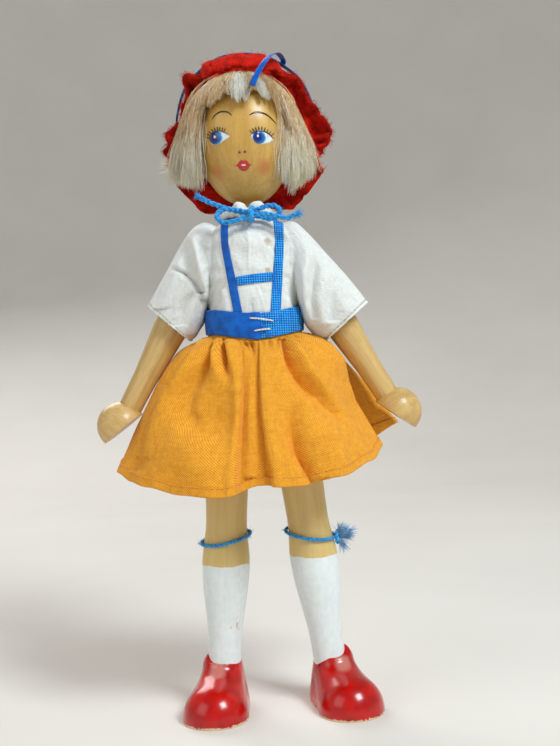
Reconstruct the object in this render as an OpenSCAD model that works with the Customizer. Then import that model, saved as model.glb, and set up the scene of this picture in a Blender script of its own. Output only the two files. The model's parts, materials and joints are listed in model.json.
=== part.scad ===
// Jointed turned-wood doll in folk costume, standing on its own two shoes.
// +Z is up, the doll faces -Y, and the origin lies on the floor below its middle.

/* [Head] */
// Width of the egg-shaped head
head_w = 27.2; // [26:0.2:28]
// Height of the head from chin to crown
head_h = 37; // [36:0.5:38]
// Height of the chin above the floor
chin_z = 143.8; // [143.6:0.1:144.2]

/* [Torso] */
// Radius of the turned trunk
torso_r = 12.4; // [12.2:0.05:12.4]
// Height of the trunk's lower edge
torso_bottom = 92; // [91:0.5:93]
// Height where the shoulders start to round over
shoulder_z = 131; // [130:0.5:132]
// Radius of the rounding of the shoulders
shoulder_round = 7.5; // [7:0.1:7.6]
// Radius of the neck
neck_r = 4.5; // [4.2:0.1:4.6]

/* [Arms] */
// Angle of each arm out from the body
arm_splay = 30; // [29:0.5:31]
// Height of the shoulder nails
shoulder_pivot_z = 129; // [128.5:0.5:129.5]
// Distance of an arm's centreline from the middle at the shoulder nail
shoulder_pivot_x = 13; // [12.8:0.1:13.2]
// Radius of the arm at the shoulder
arm_top_r = 5.2; // [5:0.1:5.3]
// Radius of the wrist
wrist_r = 3.35; // [3.2:0.05:3.5]
// Radius of the half-ball hand
hand_r = 6.9; // [6.6:0.1:7]
// Distance from the shoulder nail to the middle of the hand
hand_reach = 53.7; // [53:0.1:54]
// Angle of the palm's face from level
palm_tilt = 36; // [33:1:38]

/* [Legs] */
// Height of the hip axle
hip_z = 84; // [83.5:0.5:84.5]
// Distance of a leg's centreline from the middle at the hip axle
hip_x = 9.1; // [9:0.1:9.3]
// Outward lean of the left leg in the front view
left_leg_splay = 3.6; // [3:0.2:4]
// Outward lean of the right leg in the front view
right_leg_splay = 6; // [5:0.2:6.4]
// Radius of the hip end and the upper thigh
thigh_r = 6.2; // [6:0.1:6.3]
// Radius of the narrow place above the calf
knee_r = 5.9; // [5.7:0.1:6]
// Radius of the calf
calf_r = 6.85; // [6.6:0.05:7]
// Radius of the ankle
ankle_r = 4.65; // [4.4:0.05:4.8]

/* [Shoes] */
// Radius of the round toe
toe_r = 9.4; // [9:0.1:9.6]
// Distance from the ankle to the middle of the toe
toe_reach = 9.6; // [9:0.1:10]
// Height of the heel counter
counter_z = 14; // [13:0.5:14.5]
// How far the left toe points outward
left_toe_out = 10; // [5:1:14]
// How far the right toe points outward
right_toe_out = 22; // [16:1:24]

/* [Clothes] */
// Thickness of a layer of blouse cotton with its folds
cloth_t = 0.5; // [0.4:0.05:0.5]
// Height of the skirt's hem at the front
skirt_hem_z = 64.5; // [64:0.5:66]
// Half width of the skirt at its hem
skirt_half_w = 37.5; // [36:0.5:38]
// Half depth of the skirt at its hem
skirt_half_d = 26; // [25.5:0.5:26.5]
// Height of the belt ribbon
belt_h = 6.8; // [6:0.1:7]
// Height of the belt's lower edge
belt_z = 106.9; // [106.8:0.1:107]
// Width of the smooth left brace
left_strap_w = 2.1; // [1.9:0.1:2.3]
// Width of the embossed right brace
right_strap_w = 2.9; // [2.6:0.1:3]
// Thickness of the wool yarn
yarn_d = 1.3; // [1.2:0.05:1.35]

/* [Hat] */
// Outer radius of the hat's ruffled brim
brim_r = 24.8; // [24:0.2:25]
// Radius of the hat's crown where it meets the brim
crown_r = 17.5; // [17.4:0.1:17.6]
// Depth of the hat's crown behind the brim
crown_depth = 13; // [12.5:0.5:14]

/* [Hidden] */

$fn = 64;
LEFT = -1;
RIGHT = 1;
eps = 0.01;
big = 200;

wood = "burlywood";
cotton = "whitesmoke";
ribbon = "dodgerblue";
wool = "skyblue";
felt = "crimson";

run_gap = 0.05;
skin_gap = 0.1;
clear_gap = 0.3;

head_r = head_w / 2;
head_mid_z = chin_z + head_h / 2;
dowel_r = 2.5;
neck_top = 142.5;
dowel_bottom = 128;
dowel_top = 156;
shoulder_in_r = torso_r - shoulder_round;
seat_x = 9.7;
seat_r = 10.2;
tenon_half = 2.8;
tenon_r = 5.4;
nail_r = 0.8;
nail_tip_x = 4.3;
nail_head_r = 2;
nail_head_x = 18.1;
nail_head_t = 0.8;
axle_r = 0.9;
axle_head_x = 13.2;
axle_head_r = 1.7;
axle_head_t = 0.7;

elbow_r = 4.9;
elbow_drop = 23;
wrist_drop = hand_reach - hand_r + 1;
wrist_flare = 0.25;
wrist_flare_drop = 10;
peg_r = 2;
peg_len = 3.5;
palm_cut = 1.2;

hip_end_r = 5.8;
leg_len = 78;
heel_y = 2.2;
heel_r = 6.9;
heel_h = 8;
toe_lift = 0.6;
counter_y = 0.4;
counter_r = 5.9;
counter_h = 2.5;
garter_drop = 35.8;
garter_ring_r = 7.25;
garter_d = 1.2;

blouse_r = torso_r + cloth_t + skin_gap;
waist_r = blouse_r + skin_gap;
waist_t = 0.4;
belt_in_r = waist_r + waist_t + skin_gap;
belt_t = 0.4;
ribbon_t = 0.3;
strap_tuck = 2.6;
skirt_t = 0.9;
skirt_top_z = 109;
flare_z = 106.8;
hem_rise = 4.2;
ruffle_share = 0.035;

// Points of a circular arc in the plane
function arc(x, y, r, from, to, n) =
    [for (i = [0:n]) let (a = from + (to - from) * i / n) [x + r * cos(a), y + r * sin(a)]];

// A soft step from 0 to 1
function ease(t) = (1 - cos(180 * t)) / 2;

// Unit vector along v
function unit(v) = v / norm(v);

// Points of a smooth curve through p, with n steps between neighbours
function spline(p, n) =
    let (last = len(p) - 1)
    concat(
        [for (i = [0:last - 1], k = [0:n - 1])
            let (
                t = k / n,
                a = p[max(i - 1, 0)],
                b = p[i],
                c = p[i + 1],
                d = p[min(i + 2, last)]
            )
            0.5 * (2 * b + (c - a) * t + (2 * a - 5 * b + 4 * c - d) * t * t
                + (3 * b - a - 3 * c + d) * t * t * t)],
        [p[last]]
    );

// A solid skinned over rings of points, closed at its two ends or joined end to end
module loft(rings, joined = false) {
    n = len(rings[0]);
    m = len(rings);
    sides = [for (j = [0:(joined ? m - 1 : m - 2)], i = [0:n - 1], half = [0, 1])
        let (
            j2 = (j + 1) % m,
            i2 = (i + 1) % n,
            a = j * n + i,
            b = j * n + i2,
            c = j2 * n + i2,
            d = j2 * n + i
        )
        half == 0 ? [a, b, c] : [a, c, d]];
    caps = joined ? [] : [[for (i = [n - 1:-1:0]) i], [for (i = [0:n - 1]) (m - 1) * n + i]];
    polyhedron(points = [for (r = rings) each r], faces = concat(sides, caps), convexity = 8);
}

// A round cord along a route
module cord(route, d, sides = 8) {
    last = len(route) - 1;
    loft([for (i = [0:last])
        let (
            along = unit(route[min(i + 1, last)] - route[max(i - 1, 0)]),
            u = unit(cross([0, 1, 0], along)),
            v = cross(along, u)
        )
        [for (k = [0:sides - 1])
            let (t = 360 * k / sides)
            route[i] + d / 2 * (cos(t) * u - sin(t) * v)]]);
}

// A ribbon along places that are each [point, outward direction]
module ribbon_along(places, w, t) {
    loft([for (p = places)
        let (
            out = p[1],
            side = unit([1, 0, 0] - out[0] * out)
        )
        [p[0] - side * w / 2 - out * t / 2, p[0] + side * w / 2 - out * t / 2,
         p[0] + side * w / 2 + out * t / 2, p[0] - side * w / 2 + out * t / 2]]);
}

// A rod along X through a point at the given height
module rod_x(r, x1, x2, z) {
    translate([x1, 0, z]) rotate([0, 90, 0]) cylinder(r = r, h = x2 - x1);
}

// An upright ring of ribbon round the middle, between two heights
module band(inner_r, t, z1, z2) {
    translate([0, 0, z1]) difference() {
        cylinder(r = inner_r + t, h = z2 - z1);
        translate([0, 0, -1]) cylinder(r = inner_r, h = z2 - z1 + 2);
    }
}

// The outline of the trunk, grown outward for the cloth that lies on it
function trunk_outline(grow) =
    arc(shoulder_in_r, shoulder_z, shoulder_round + grow, 0, 90, 12);

// ---------------------------------------------------------------- trunk and head

module torso() {
    color(wood) difference() {
        union() {
            rotate_extrude() polygon(concat(
                [[0, torso_bottom], [torso_r - 1, torso_bottom], [torso_r, torso_bottom + 1]],
                trunk_outline(0),
                [[neck_r, shoulder_z + shoulder_round], [neck_r, neck_top], [0, neck_top]]
            ));
            translate([-tenon_half, -tenon_r, hip_z])
                cube([2 * tenon_half, 2 * tenon_r, torso_bottom - hip_z + 1]);
            rod_x(tenon_r, -tenon_half, tenon_half, hip_z);
        }
        translate([0, 0, dowel_bottom]) cylinder(r = dowel_r + run_gap, h = big);
        for (x = [seat_x, -seat_x - big]) rod_x(seat_r, x, x + big, shoulder_pivot_z);
        rod_x(nail_r, -big / 2, clear_gap - nail_tip_x, shoulder_pivot_z);
        rod_x(nail_r, nail_tip_x - clear_gap, big / 2, shoulder_pivot_z);
        rod_x(axle_r, -big / 2, big / 2, hip_z);
    }
}

module neck_dowel() {
    color("tan") translate([0, 0, dowel_bottom + clear_gap])
        cylinder(r = dowel_r, h = dowel_top - dowel_bottom - clear_gap);
}

module head() {
    color(wood) difference() {
        translate([0, 0, head_mid_z]) rotate_extrude() polygon([
            for (i = [0:40]) let (t = -90 + 180 * i / 40)
                [max(0, head_r * cos(t)), head_h / 2 * sin(t)]
        ]);
        translate([0, 0, chin_z - 1]) cylinder(r = dowel_r, h = dowel_top - chin_z + 1);
    }
}

// ---------------------------------------------------------------- hair and hat

hair_x = -0.9;
brim_mid = [0.3, 165];
crown_mid_z = 163;
brim_low_z = 143.5;
brim_front_y = 5.9;
brim_t = 1.2;
brim_ruffle = 0.7;
crown_start_y = 8.6;
crown_t = 1.2;

// Half width and half depth of the bobbed hair at each height
hair_levels = [
    [147.5, 18.6, 13], [149, 20, 14.2], [153, 20.9, 15], [160, 20.4, 15.6], [167, 18.6, 15.8],
    [173, 15.8, 15.4], [178, 12, 13], [181.5, 7.5, 9], [183, 2.5, 3]
];

// The solid dome inside the hat's crown, lying along +Y, with a straight part of length stem before it
module crown_dome(shrink, stem = 0) {
    r = crown_r - shrink;
    depth = crown_depth - shrink;
    dome = [for (i = [0:16])
        let (t = 90 * i / 16)
        [max(0, r * cos(t)), depth * sin(t)]];
    translate([0, crown_start_y, crown_mid_z]) rotate([-90, 0, 0]) rotate_extrude()
        polygon(concat([[0, -stem]], stem > 0 ? [[r, -stem]] : [], dome));
}

module hair_outside() {
    hull() for (l = hair_levels)
        translate([hair_x, 0, l[0]]) scale([l[1], l[2], 1]) cylinder(r = 1, h = 0.2, $fn = 40);
}

// The room for the head inside the hair: the egg's upper half and a straight bore below it
module head_room() {
    a = head_r + skin_gap;
    b = head_h / 2 + skin_gap;
    translate([0, 0, head_mid_z]) rotate_extrude() polygon(concat(
        [[0, -head_h], [a, -head_h]],
        [for (i = [0:20]) let (t = 90 * i / 20) [max(0, a * cos(t)), b * sin(t)]]
    ));
}

module hair() {
    face_r = 11.2;
    face_z = 158.6;
    color("cornsilk") difference() {
        hair_outside();
        translate([-big / 2, brim_front_y - clear_gap, 0]) cube([big, big, big]);
        head_room();
        translate([hair_x, 0, face_z]) rotate([90, 0, 0]) cylinder(r = face_r, h = big / 2);
        translate([hair_x - face_r, -big / 2, face_z - 30]) cube([2 * face_r, big / 2, 30]);
    }
}

module back_hair() {
    color("cornsilk") difference() {
        crown_dome(crown_t + 2 * skin_gap, crown_start_y - brim_front_y + skin_gap);
        head_room();
    }
}

// Outer radius of the brim at an angle, kept level along the bottom behind the neck
function brim_edge(t) =
    min(brim_r + brim_ruffle * sin(5 * t + 20), (brim_mid[1] - brim_low_z) / max(eps, -sin(t)));

// Inner radius of the brim at an angle, wider at the bottom where it passes behind the jaw
function brim_inside(t) = crown_r - crown_t - skin_gap + 1.7 * pow(max(0, -sin(t)), 6);

module hat_brim() {
    color(felt) loft([for (i = [0:71])
        let (
            t = 5 * i,
            outer = brim_edge(t),
            inner = brim_inside(t),
            wave = 1 + 0.9 * sin(6 * t),
            in_x = inner * cos(t),
            in_z = crown_mid_z + inner * sin(t),
            out_x = brim_mid[0] + outer * cos(t),
            out_z = brim_mid[1] + outer * sin(t)
        )
        [[in_x, brim_front_y, in_z], [out_x, brim_front_y + wave, out_z],
         [out_x, brim_front_y + wave + brim_t, out_z], [in_x, crown_start_y - skin_gap, in_z]]],
        joined = true);
}

module hat_crown() {
    color(felt) difference() {
        crown_dome(0);
        crown_dome(crown_t);
        translate([0, crown_start_y - 1, crown_mid_z]) rotate([-90, 0, 0])
            cylinder(r = crown_r - crown_t, h = 1 + eps);
    }
}

// The ribbon's loose end, from its tip over the fringe back over the brim to the band
tail_places = [
    [[3.9, -14.6, 175.6], [0, -1, 0.3]],
    [[5, -11.5, 179.6], [0, -0.9, 0.4]],
    [[6.8, -7, 184], [0, -0.7, 0.7]],
    [[8.8, -1, 187.6], [0, -0.5, 0.9]],
    [[10.4, 5, 189.4], [0, -0.2, 1]],
    [[10.9, 9.5, 188.9], [0, 0.3, 1]],
    [[10, 11.3, 185.5], [0, 0.9, 0.4]],
    [[8.2, 11.3, 181.5], [0, 1, 0]]
];

module hat_band() {
    band_r = crown_r + skin_gap;
    band_w = 3;
    tail_w = 1.3;
    color(ribbon) {
        translate([0, crown_start_y, crown_mid_z]) rotate([-90, 0, 0])
            band(band_r, ribbon_t, skin_gap, skin_gap + band_w);
        ribbon_along([for (p = tail_places) [p[0], unit(p[1])]], tail_w, ribbon_t);
    }
}

// ---------------------------------------------------------------- blouse

module blouse_body() {
    outer = trunk_outline(cloth_t + skin_gap);
    inner = trunk_outline(skin_gap);
    neck_hole = neck_r + 0.6;
    color(cotton) difference() {
        rotate_extrude() polygon(concat(
            [[torso_r + skin_gap, belt_z], [blouse_r, belt_z]],
            [for (p = outer) if (p[0] > neck_hole) p],
            [for (i = [len(inner) - 1:-1:0]) if (inner[i][0] > neck_hole) inner[i]]
        ));
        for (x = [seat_x, -seat_x - big]) rod_x(seat_r + clear_gap, x, x + big, shoulder_pivot_z);
    }
}

module collar() {
    frill_z = 140.95;
    frill_r = 6.9;
    roll_r = 1.25;
    puff_r = 2.3;
    puff_at = [2.75, -7.6, 142.2];
    color(cotton) {
        translate([0, 0, frill_z]) rotate_extrude() translate([frill_r, 0]) circle(r = roll_r);
        translate(puff_at) sphere(r = puff_r);
        translate([-puff_at[0], puff_at[1], puff_at[2]]) sphere(r = puff_r);
    }
}

// The shoulder end of a sleeve is an upright disc beside the trunk, and its hem is a tilted ring
module sleeve_form(side, inset, hem_drop) {
    disc_x = 14.5;
    disc_t = 2.5;
    disc_z = 127.1;
    disc_r = 12.3;
    hem_at = [25.6, 110.6];
    hem_tilt = 43;
    hem_r = 8.2;
    hull() {
        scale([1, 0.84, 1])
            rod_x(disc_r - inset, side > 0 ? disc_x : -disc_x - disc_t,
                side > 0 ? disc_x + disc_t : -disc_x, disc_z, $fn = 32);
        translate([side * hem_at[0], 0, hem_at[1] - hem_drop]) rotate([0, -side * hem_tilt, 0])
            scale([1, 0.8, 1]) cylinder(r = hem_r - inset, h = cloth_t, $fn = 32);
    }
}

module sleeve(side) {
    wall = 0.7;
    cut_x = 14.55;
    color(cotton) difference() {
        sleeve_form(side, 0, 0);
        sleeve_form(side, wall, cloth_t + skin_gap);
        translate([side > 0 ? 0 : -cut_x, -big / 2, 0]) cube([cut_x, big, big]);
    }
}

module left_sleeve() { sleeve(LEFT); }
module right_sleeve() { sleeve(RIGHT); }

// Route of the yarn: left tail, left loop, across the knot, right loop, right tail
tie_route = [
    [-13.4, -12.7, 144.9], [-10.6, -12.1, 143.3], [-6.8, -11.3, 141.8], [-3, -10.8, 140.6],
    [0.6, -10.8, 139.7], [3.6, -11, 138.6], [6.4, -11.4, 137.8], [8.4, -11.9, 138.5], [8.7, -12.3, 140.3],
    [7, -12.5, 141.4], [4.2, -12.5, 141], [0.8, -12.5, 139.9], [-2.6, -12.5, 140.5], [-5.8, -12.6, 141],
    [-7.9, -13, 140.2], [-8.3, -13.6, 138.4], [-6.4, -14, 137.1], [-3.2, -14.2, 137.5],
    [0.6, -14.2, 138.6], [4.4, -14.1, 139], [8.2, -13.9, 138.1], [11, -13.4, 137.6], [13.4, -12.8, 138.6]
];

module neck_tie() {
    color(wool) cord(spline(tie_route, 3), yarn_d);
}

// ---------------------------------------------------------------- braces and belt

// Places along a brace: up the front, over the shoulder and down the back
function strap_places(low_x, high_x) =
    let (
        lift = skin_gap + ribbon_t / 2,
        low_z = belt_z + belt_h - strap_tuck,
        wall_r = blouse_r + lift,
        arc_r = shoulder_round + cloth_t + skin_gap + lift,
        rise = [for (i = [0:7])
            let (
                z = low_z + (shoulder_z - low_z) * i / 8,
                x = low_x + (high_x - low_x) * i / 8
            )
            [x, z]],
        over = [for (i = [0:14])
            let (
                y = -cos(180 * i / 14) * sqrt(wall_r * wall_r - high_x * high_x),
                r = sqrt(high_x * high_x + y * y),
                a = acos(min(1, max(0, r - shoulder_in_r) / arc_r))
            )
            [[high_x, y, shoulder_z + arc_r * sin(a)], unit([high_x / r * cos(a), y / r * cos(a), sin(a)])]]
    )
    concat(
        [for (p = rise)
            let (y = -sqrt(wall_r * wall_r - p[0] * p[0]))
            [[p[0], y, p[1]], unit([p[0], y, 0])]],
        over,
        [for (i = [len(rise) - 1:-1:0])
            let (
                p = rise[i],
                y = sqrt(wall_r * wall_r - p[0] * p[0])
            )
            [[p[0], y, p[1]], unit([p[0], y, 0])]]
    );

module left_strap() {
    color("royalblue") ribbon_along(strap_places(-3.9, -6.8), left_strap_w, ribbon_t);
}

module right_strap() {
    color(ribbon) ribbon_along(strap_places(6.2, 8.4), right_strap_w, ribbon_t);
}

module cross_strap() {
    low_z = 120.2;
    high_z = 122.7;
    left_x = -3.4;
    right_x = 5.3;
    strap_in_r = blouse_r + skin_gap;
    color(ribbon) intersection() {
        band(strap_in_r, ribbon_t, low_z, high_z);
        translate([left_x, -big, 0]) cube([right_x - left_x, big, big]);
    }
}

module belt() {
    color(ribbon) band(belt_in_r, belt_t, belt_z, belt_z + belt_h);
}

module belt_stitches() {
    thread_d = 0.5;
    y = -(belt_in_r + belt_t + 0.45);
    color("white") {
        cord([[-0.6, y, 110.7], [2.2, y, 110.2], [5, y + 0.5, 109.7]], thread_d);
        cord([[0.4, y, 107.5], [2.4, y, 107.6], [4.3, y + 0.3, 107.8]], thread_d);
    }
}

// ---------------------------------------------------------------- skirt

// Share of the flare reached at a drop from the belt, from 0 to 1
function flare(drop) = pow(max(0, drop), 0.62);

// One ring of the skirt, from the front going round, at a drop from 0 to 1
function skirt_ring(drop, inset) =
    [for (i = [0:71])
        let (
            t = 5 * i,
            hem_z = skirt_hem_z + hem_rise * pow(cos(t), 2),
            z = flare_z + (hem_z - flare_z) * drop,
            ruffle = 1 + ruffle_share * drop * sin(9 * t - 90),
            top_r = waist_r + waist_t,
            rx = (top_r + (skirt_half_w - top_r) * flare(drop)) * ruffle - inset,
            ry = (top_r + (skirt_half_d - top_r) * flare(drop)) * ruffle - inset
        )
        [rx * cos(t), ry * sin(t), z]];

function circle_ring(r, z) = [for (i = [0:71]) [r * cos(5 * i), r * sin(5 * i), z]];

module skirt() {
    seam_drop = 2.4;
    drops = [0.04, 0.1, 0.18, 0.28, 0.4, 0.54, 0.7, 0.85, 1];
    outside = [for (d = drops) skirt_ring(d, 0)];
    inside = [for (i = [len(drops) - 1:-1:0]) skirt_ring(drops[i], skirt_t)];
    color("orange") loft(concat(
        [circle_ring(waist_r, skirt_top_z), circle_ring(waist_r + waist_t, skirt_top_z),
         circle_ring(waist_r + waist_t, flare_z)],
        outside,
        inside,
        [circle_ring(waist_r, flare_z - seam_drop)]
    ), joined = true);
}

// ---------------------------------------------------------------- arms

// Puts a child that hangs straight down from the nail into the arm's place
module arm_place(side) {
    translate([side * shoulder_pivot_x, 0, shoulder_pivot_z]) rotate([0, -side * arm_splay, 0]) children();
}

module palm_place(side) {
    arm_place(side) translate([0, 0, -hand_reach])
        rotate([0, side * (arm_splay + palm_tilt), 0]) children();
}

module hand(side) {
    color(wood) difference() {
        palm_place(side) sphere(r = hand_r);
        palm_place(side) translate([-big / 2, -big / 2, -palm_cut - big]) cube([big, big, big]);
        arm_place(side) translate([0, 0, -wrist_drop]) cylinder(r = wrist_r + 1, h = hand_r);
        arm_place(side) translate([0, 0, -wrist_drop - peg_len - clear_gap])
            cylinder(r = peg_r, h = hand_r);
    }
}

module arm(side) {
    peg_in_r = peg_r - run_gap;
    flat_x = seat_x + 2 * skin_gap;
    color(wood) difference() {
        arm_place(side) rotate_extrude() polygon(concat(
            [[0, -wrist_drop - peg_len], [peg_in_r, -wrist_drop - peg_len], [peg_in_r, -wrist_drop],
             [wrist_r, -wrist_drop], [wrist_r + wrist_flare, wrist_flare_drop - wrist_drop],
             [elbow_r, -elbow_drop]],
            arc(0, 0, arm_top_r, 0, 90, 10)
        ));
        translate([side > 0 ? 0 : -flat_x, -big / 2, 0]) cube([flat_x, big, big]);
        rod_x(nail_r + run_gap, -big / 2, big / 2, shoulder_pivot_z);
        rod_x(nail_head_r + clear_gap, side > 0 ? nail_head_x : -big, side > 0 ? big : -nail_head_x,
            shoulder_pivot_z);
    }
}

module shoulder_nail(side) {
    head_x = nail_head_x + run_gap;
    rim_x = head_x + nail_head_t;
    color("silver") {
        rod_x(nail_r, side > 0 ? nail_tip_x : -head_x - eps, side > 0 ? head_x + eps : -nail_tip_x,
            shoulder_pivot_z);
        rod_x(nail_head_r, side > 0 ? head_x : -rim_x, side > 0 ? rim_x : -head_x, shoulder_pivot_z);
    }
}

module left_shoulder_nail() { shoulder_nail(LEFT); }
module right_shoulder_nail() { shoulder_nail(RIGHT); }
module left_arm() { arm(LEFT); }
module right_arm() { arm(RIGHT); }
module left_hand() { hand(LEFT); }
module right_hand() { hand(RIGHT); }

// ---------------------------------------------------------------- legs

// Distances below the hip and the radius there, each a wide or a narrow place of the leg
leg_stations = [[6, 6], [16, thigh_r], [31, knee_r], [42.5, calf_r], [68, ankle_r], [74, ankle_r]];

// Puts a child that hangs straight down from the hip axle into the leg's place
module leg_place(side, splay) {
    translate([side * hip_x, 0, hip_z]) rotate([0, -side * splay, 0]) children();
}

module leg(side, splay) {
    steps = 8;
    hip_end = arc(0, 0, hip_end_r, 90, 0, 8);
    sides = [for (i = [0:len(leg_stations) - 2], k = [0:steps - 1])
        let (
            a = leg_stations[i],
            b = leg_stations[i + 1],
            t = k / steps
        )
        [a[1] + (b[1] - a[1]) * ease(t), -(a[0] + (b[0] - a[0]) * t)]];
    color(wood) difference() {
        leg_place(side, splay) rotate_extrude() polygon(concat(
            hip_end, sides, [[ankle_r, -leg_stations[len(leg_stations) - 1][0]], [ankle_r, -leg_len],
                [0, -leg_len]]
        ));
        rod_x(axle_r + run_gap, -big / 2, big / 2, hip_z);
        rod_x(axle_head_r + clear_gap, side > 0 ? axle_head_x : -big, side > 0 ? big : -axle_head_x, hip_z);
    }
}

module shoe(side, splay, toe_out) {
    ankle_x = side * (hip_x + hip_z * tan(splay));
    color("red") difference() {
        translate([ankle_x, 0, 0]) rotate([0, 0, side * toe_out]) intersection() {
            hull($fn = 40) {
                translate([0, -toe_reach, toe_lift]) sphere(r = toe_r);
                translate([0, heel_y, 0]) cylinder(r = heel_r, h = heel_h);
                translate([0, counter_y, counter_z - counter_h]) cylinder(r = counter_r, h = counter_h);
            }
            translate([-big / 2, -big / 2, 0]) cube([big, big, big]);
        }
        leg_place(side, splay) translate([0, 0, -leg_len]) cylinder(r = ankle_r + run_gap, h = big);
    }
}

module garter(side, splay) {
    color(wool) leg_place(side, splay) translate([0, 0, -garter_drop])
        rotate_extrude() translate([garter_ring_r, 0]) circle(d = garter_d);
}

module hip_axle() {
    color("silver") {
        rod_x(axle_r, -axle_head_x - run_gap - eps, axle_head_x + run_gap + eps, hip_z);
        for (x = [axle_head_x + run_gap, -axle_head_x - run_gap - axle_head_t])
            rod_x(axle_head_r, x, x + axle_head_t, hip_z);
    }
}

module left_leg() { leg(LEFT, left_leg_splay); }
module right_leg() { leg(RIGHT, right_leg_splay); }
module left_shoe() { shoe(LEFT, left_leg_splay, left_toe_out); }
module right_shoe() { shoe(RIGHT, right_leg_splay, right_toe_out); }
module left_garter() { garter(LEFT, left_leg_splay); }

module right_garter() {
    knot_at = [9.4, -1.5, -36];
    knot_r = 1.7;
    garter(RIGHT, right_leg_splay);
    color(wool) leg_place(RIGHT, right_leg_splay) translate(knot_at) sphere(r = knot_r);
}

torso();
neck_dowel();
head();
hair();
back_hair();
hat_brim();
hat_crown();
hat_band();
blouse_body();
collar();
neck_tie();
left_sleeve();
right_sleeve();
left_strap();
right_strap();
cross_strap();
belt();
belt_stitches();
skirt();
left_shoulder_nail();
right_shoulder_nail();
left_arm();
right_arm();
left_hand();
right_hand();
hip_axle();
left_leg();
right_leg();
left_shoe();
right_shoe();
left_garter();
right_garter();
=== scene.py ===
"""The looks of a standing wooden doll in folk costume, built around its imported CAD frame.

Lengths are written in millimetres in the doll's own frame (+Z up, the face looks along -Y)
and become metres when a mesh is made. LEFT is -X, the left of the picture.
"""

import json
import math

import bpy
import numpy as np
from mathutils import Matrix, Vector


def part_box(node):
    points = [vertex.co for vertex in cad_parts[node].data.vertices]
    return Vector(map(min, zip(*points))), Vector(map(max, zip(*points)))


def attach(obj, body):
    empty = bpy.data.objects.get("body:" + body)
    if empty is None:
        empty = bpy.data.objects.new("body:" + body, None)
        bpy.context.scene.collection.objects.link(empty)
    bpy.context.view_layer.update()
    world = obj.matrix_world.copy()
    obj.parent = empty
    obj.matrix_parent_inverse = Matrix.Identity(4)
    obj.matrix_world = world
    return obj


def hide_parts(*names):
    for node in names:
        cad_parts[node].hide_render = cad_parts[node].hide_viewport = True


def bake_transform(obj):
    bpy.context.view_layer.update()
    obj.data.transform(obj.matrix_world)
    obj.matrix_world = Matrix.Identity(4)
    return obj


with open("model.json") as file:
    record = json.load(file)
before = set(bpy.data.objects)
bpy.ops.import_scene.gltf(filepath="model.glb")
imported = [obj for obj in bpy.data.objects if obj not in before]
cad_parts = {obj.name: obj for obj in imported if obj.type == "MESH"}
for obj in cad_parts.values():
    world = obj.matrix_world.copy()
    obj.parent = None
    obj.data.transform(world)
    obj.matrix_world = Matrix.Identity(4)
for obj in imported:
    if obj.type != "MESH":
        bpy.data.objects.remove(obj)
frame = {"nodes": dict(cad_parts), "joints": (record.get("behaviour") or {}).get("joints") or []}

MM = 0.001
LEFT, RIGHT = -1, 1
SIDE_NAME = {LEFT: "left", RIGHT: "right"}
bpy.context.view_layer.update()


# ------------------------------------------------------------------ sizes from the frame

def box_mm(node):
    """Lowest and highest corner of a CAD node, in millimetres."""
    low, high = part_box(node)
    return np.array(low) / MM, np.array(high) / MM


def joint(name):
    return next(j for j in frame["joints"] if j["name"] == name)


HEAD_LOW, HEAD_HIGH = box_mm("head")
HEAD_R = (HEAD_HIGH[0] - HEAD_LOW[0]) / 2
HEAD_HALF_H = 18.5
HEAD_MID = HEAD_HIGH[2] - HEAD_HALF_H
CHIN = HEAD_MID - HEAD_HALF_H
SHOULDER = np.array(joint("right_shoulder")["pos_m"]) / MM
HIP = np.array(joint("right_hip")["pos_m"]) / MM
TRUNK_R = box_mm("blouse_body")[1][0]
TRUNK_ROUND_Z = 131.0
TRUNK_ROUND = 8.1
BELT_LOW, BELT_HIGH = box_mm("belt")


# ------------------------------------------------------------------ small maths

def ease(t):
    t = np.clip(t, 0, 1)
    return t * t * (3 - 2 * t)


def bell(x, middle, width):
    """A soft bump of height 1 at middle."""
    return np.exp(-((x - middle) / width) ** 2)


def unit(v):
    return v / np.maximum(np.linalg.norm(v, axis=-1, keepdims=True), 1e-9)


def spline(points, steps):
    """A smooth curve through given points, with steps between neighbours."""
    p = np.array(points, float)
    last = len(p) - 1
    made = []
    for i in range(last):
        a, b, c, d = p[max(i - 1, 0)], p[i], p[i + 1], p[min(i + 2, last)]
        for t in np.linspace(0, 1, steps, endpoint=False):
            made.append(0.5 * (2 * b + (c - a) * t + (2 * a - 5 * b + 4 * c - d) * t * t
                               + (3 * b - a - 3 * c + d) * t ** 3))
    return np.array(made + [p[last]])


def ring_curve(angles, values, at):
    """Smooth values all the way round, from a few (angle, value) pairs in degrees."""
    a = np.array(angles, float)
    v = np.array(values, float)
    a = np.concatenate([a - 360, a, a + 360])
    v = np.concatenate([v, v, v])
    at = np.mod(at, 360)
    i = np.clip(np.searchsorted(a, at) - 1, 1, len(a) - 3)
    t = (at - a[i]) / (a[i + 1] - a[i])
    return v[i] + (v[i + 1] - v[i]) * ease(t)


def look_up(table, at, column):
    """A value between a table's rows, which start with the places that at is measured in."""
    return np.interp(at, table[:, 0], table[:, column])


def sine(degrees):
    return np.sin(np.radians(degrees))


def evenly(path, count):
    """The same path with stations the same distance apart."""
    step = np.linalg.norm(np.diff(path, axis=0), axis=1)
    run = np.concatenate([[0], np.cumsum(step)])
    want = np.linspace(0, run[-1], count)
    return np.stack([np.interp(want, run, path[:, k]) for k in range(3)], axis=1)


def path_length(path):
    return float(np.linalg.norm(np.diff(path, axis=0), axis=1).sum())


# ------------------------------------------------------------------ meshes

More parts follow.
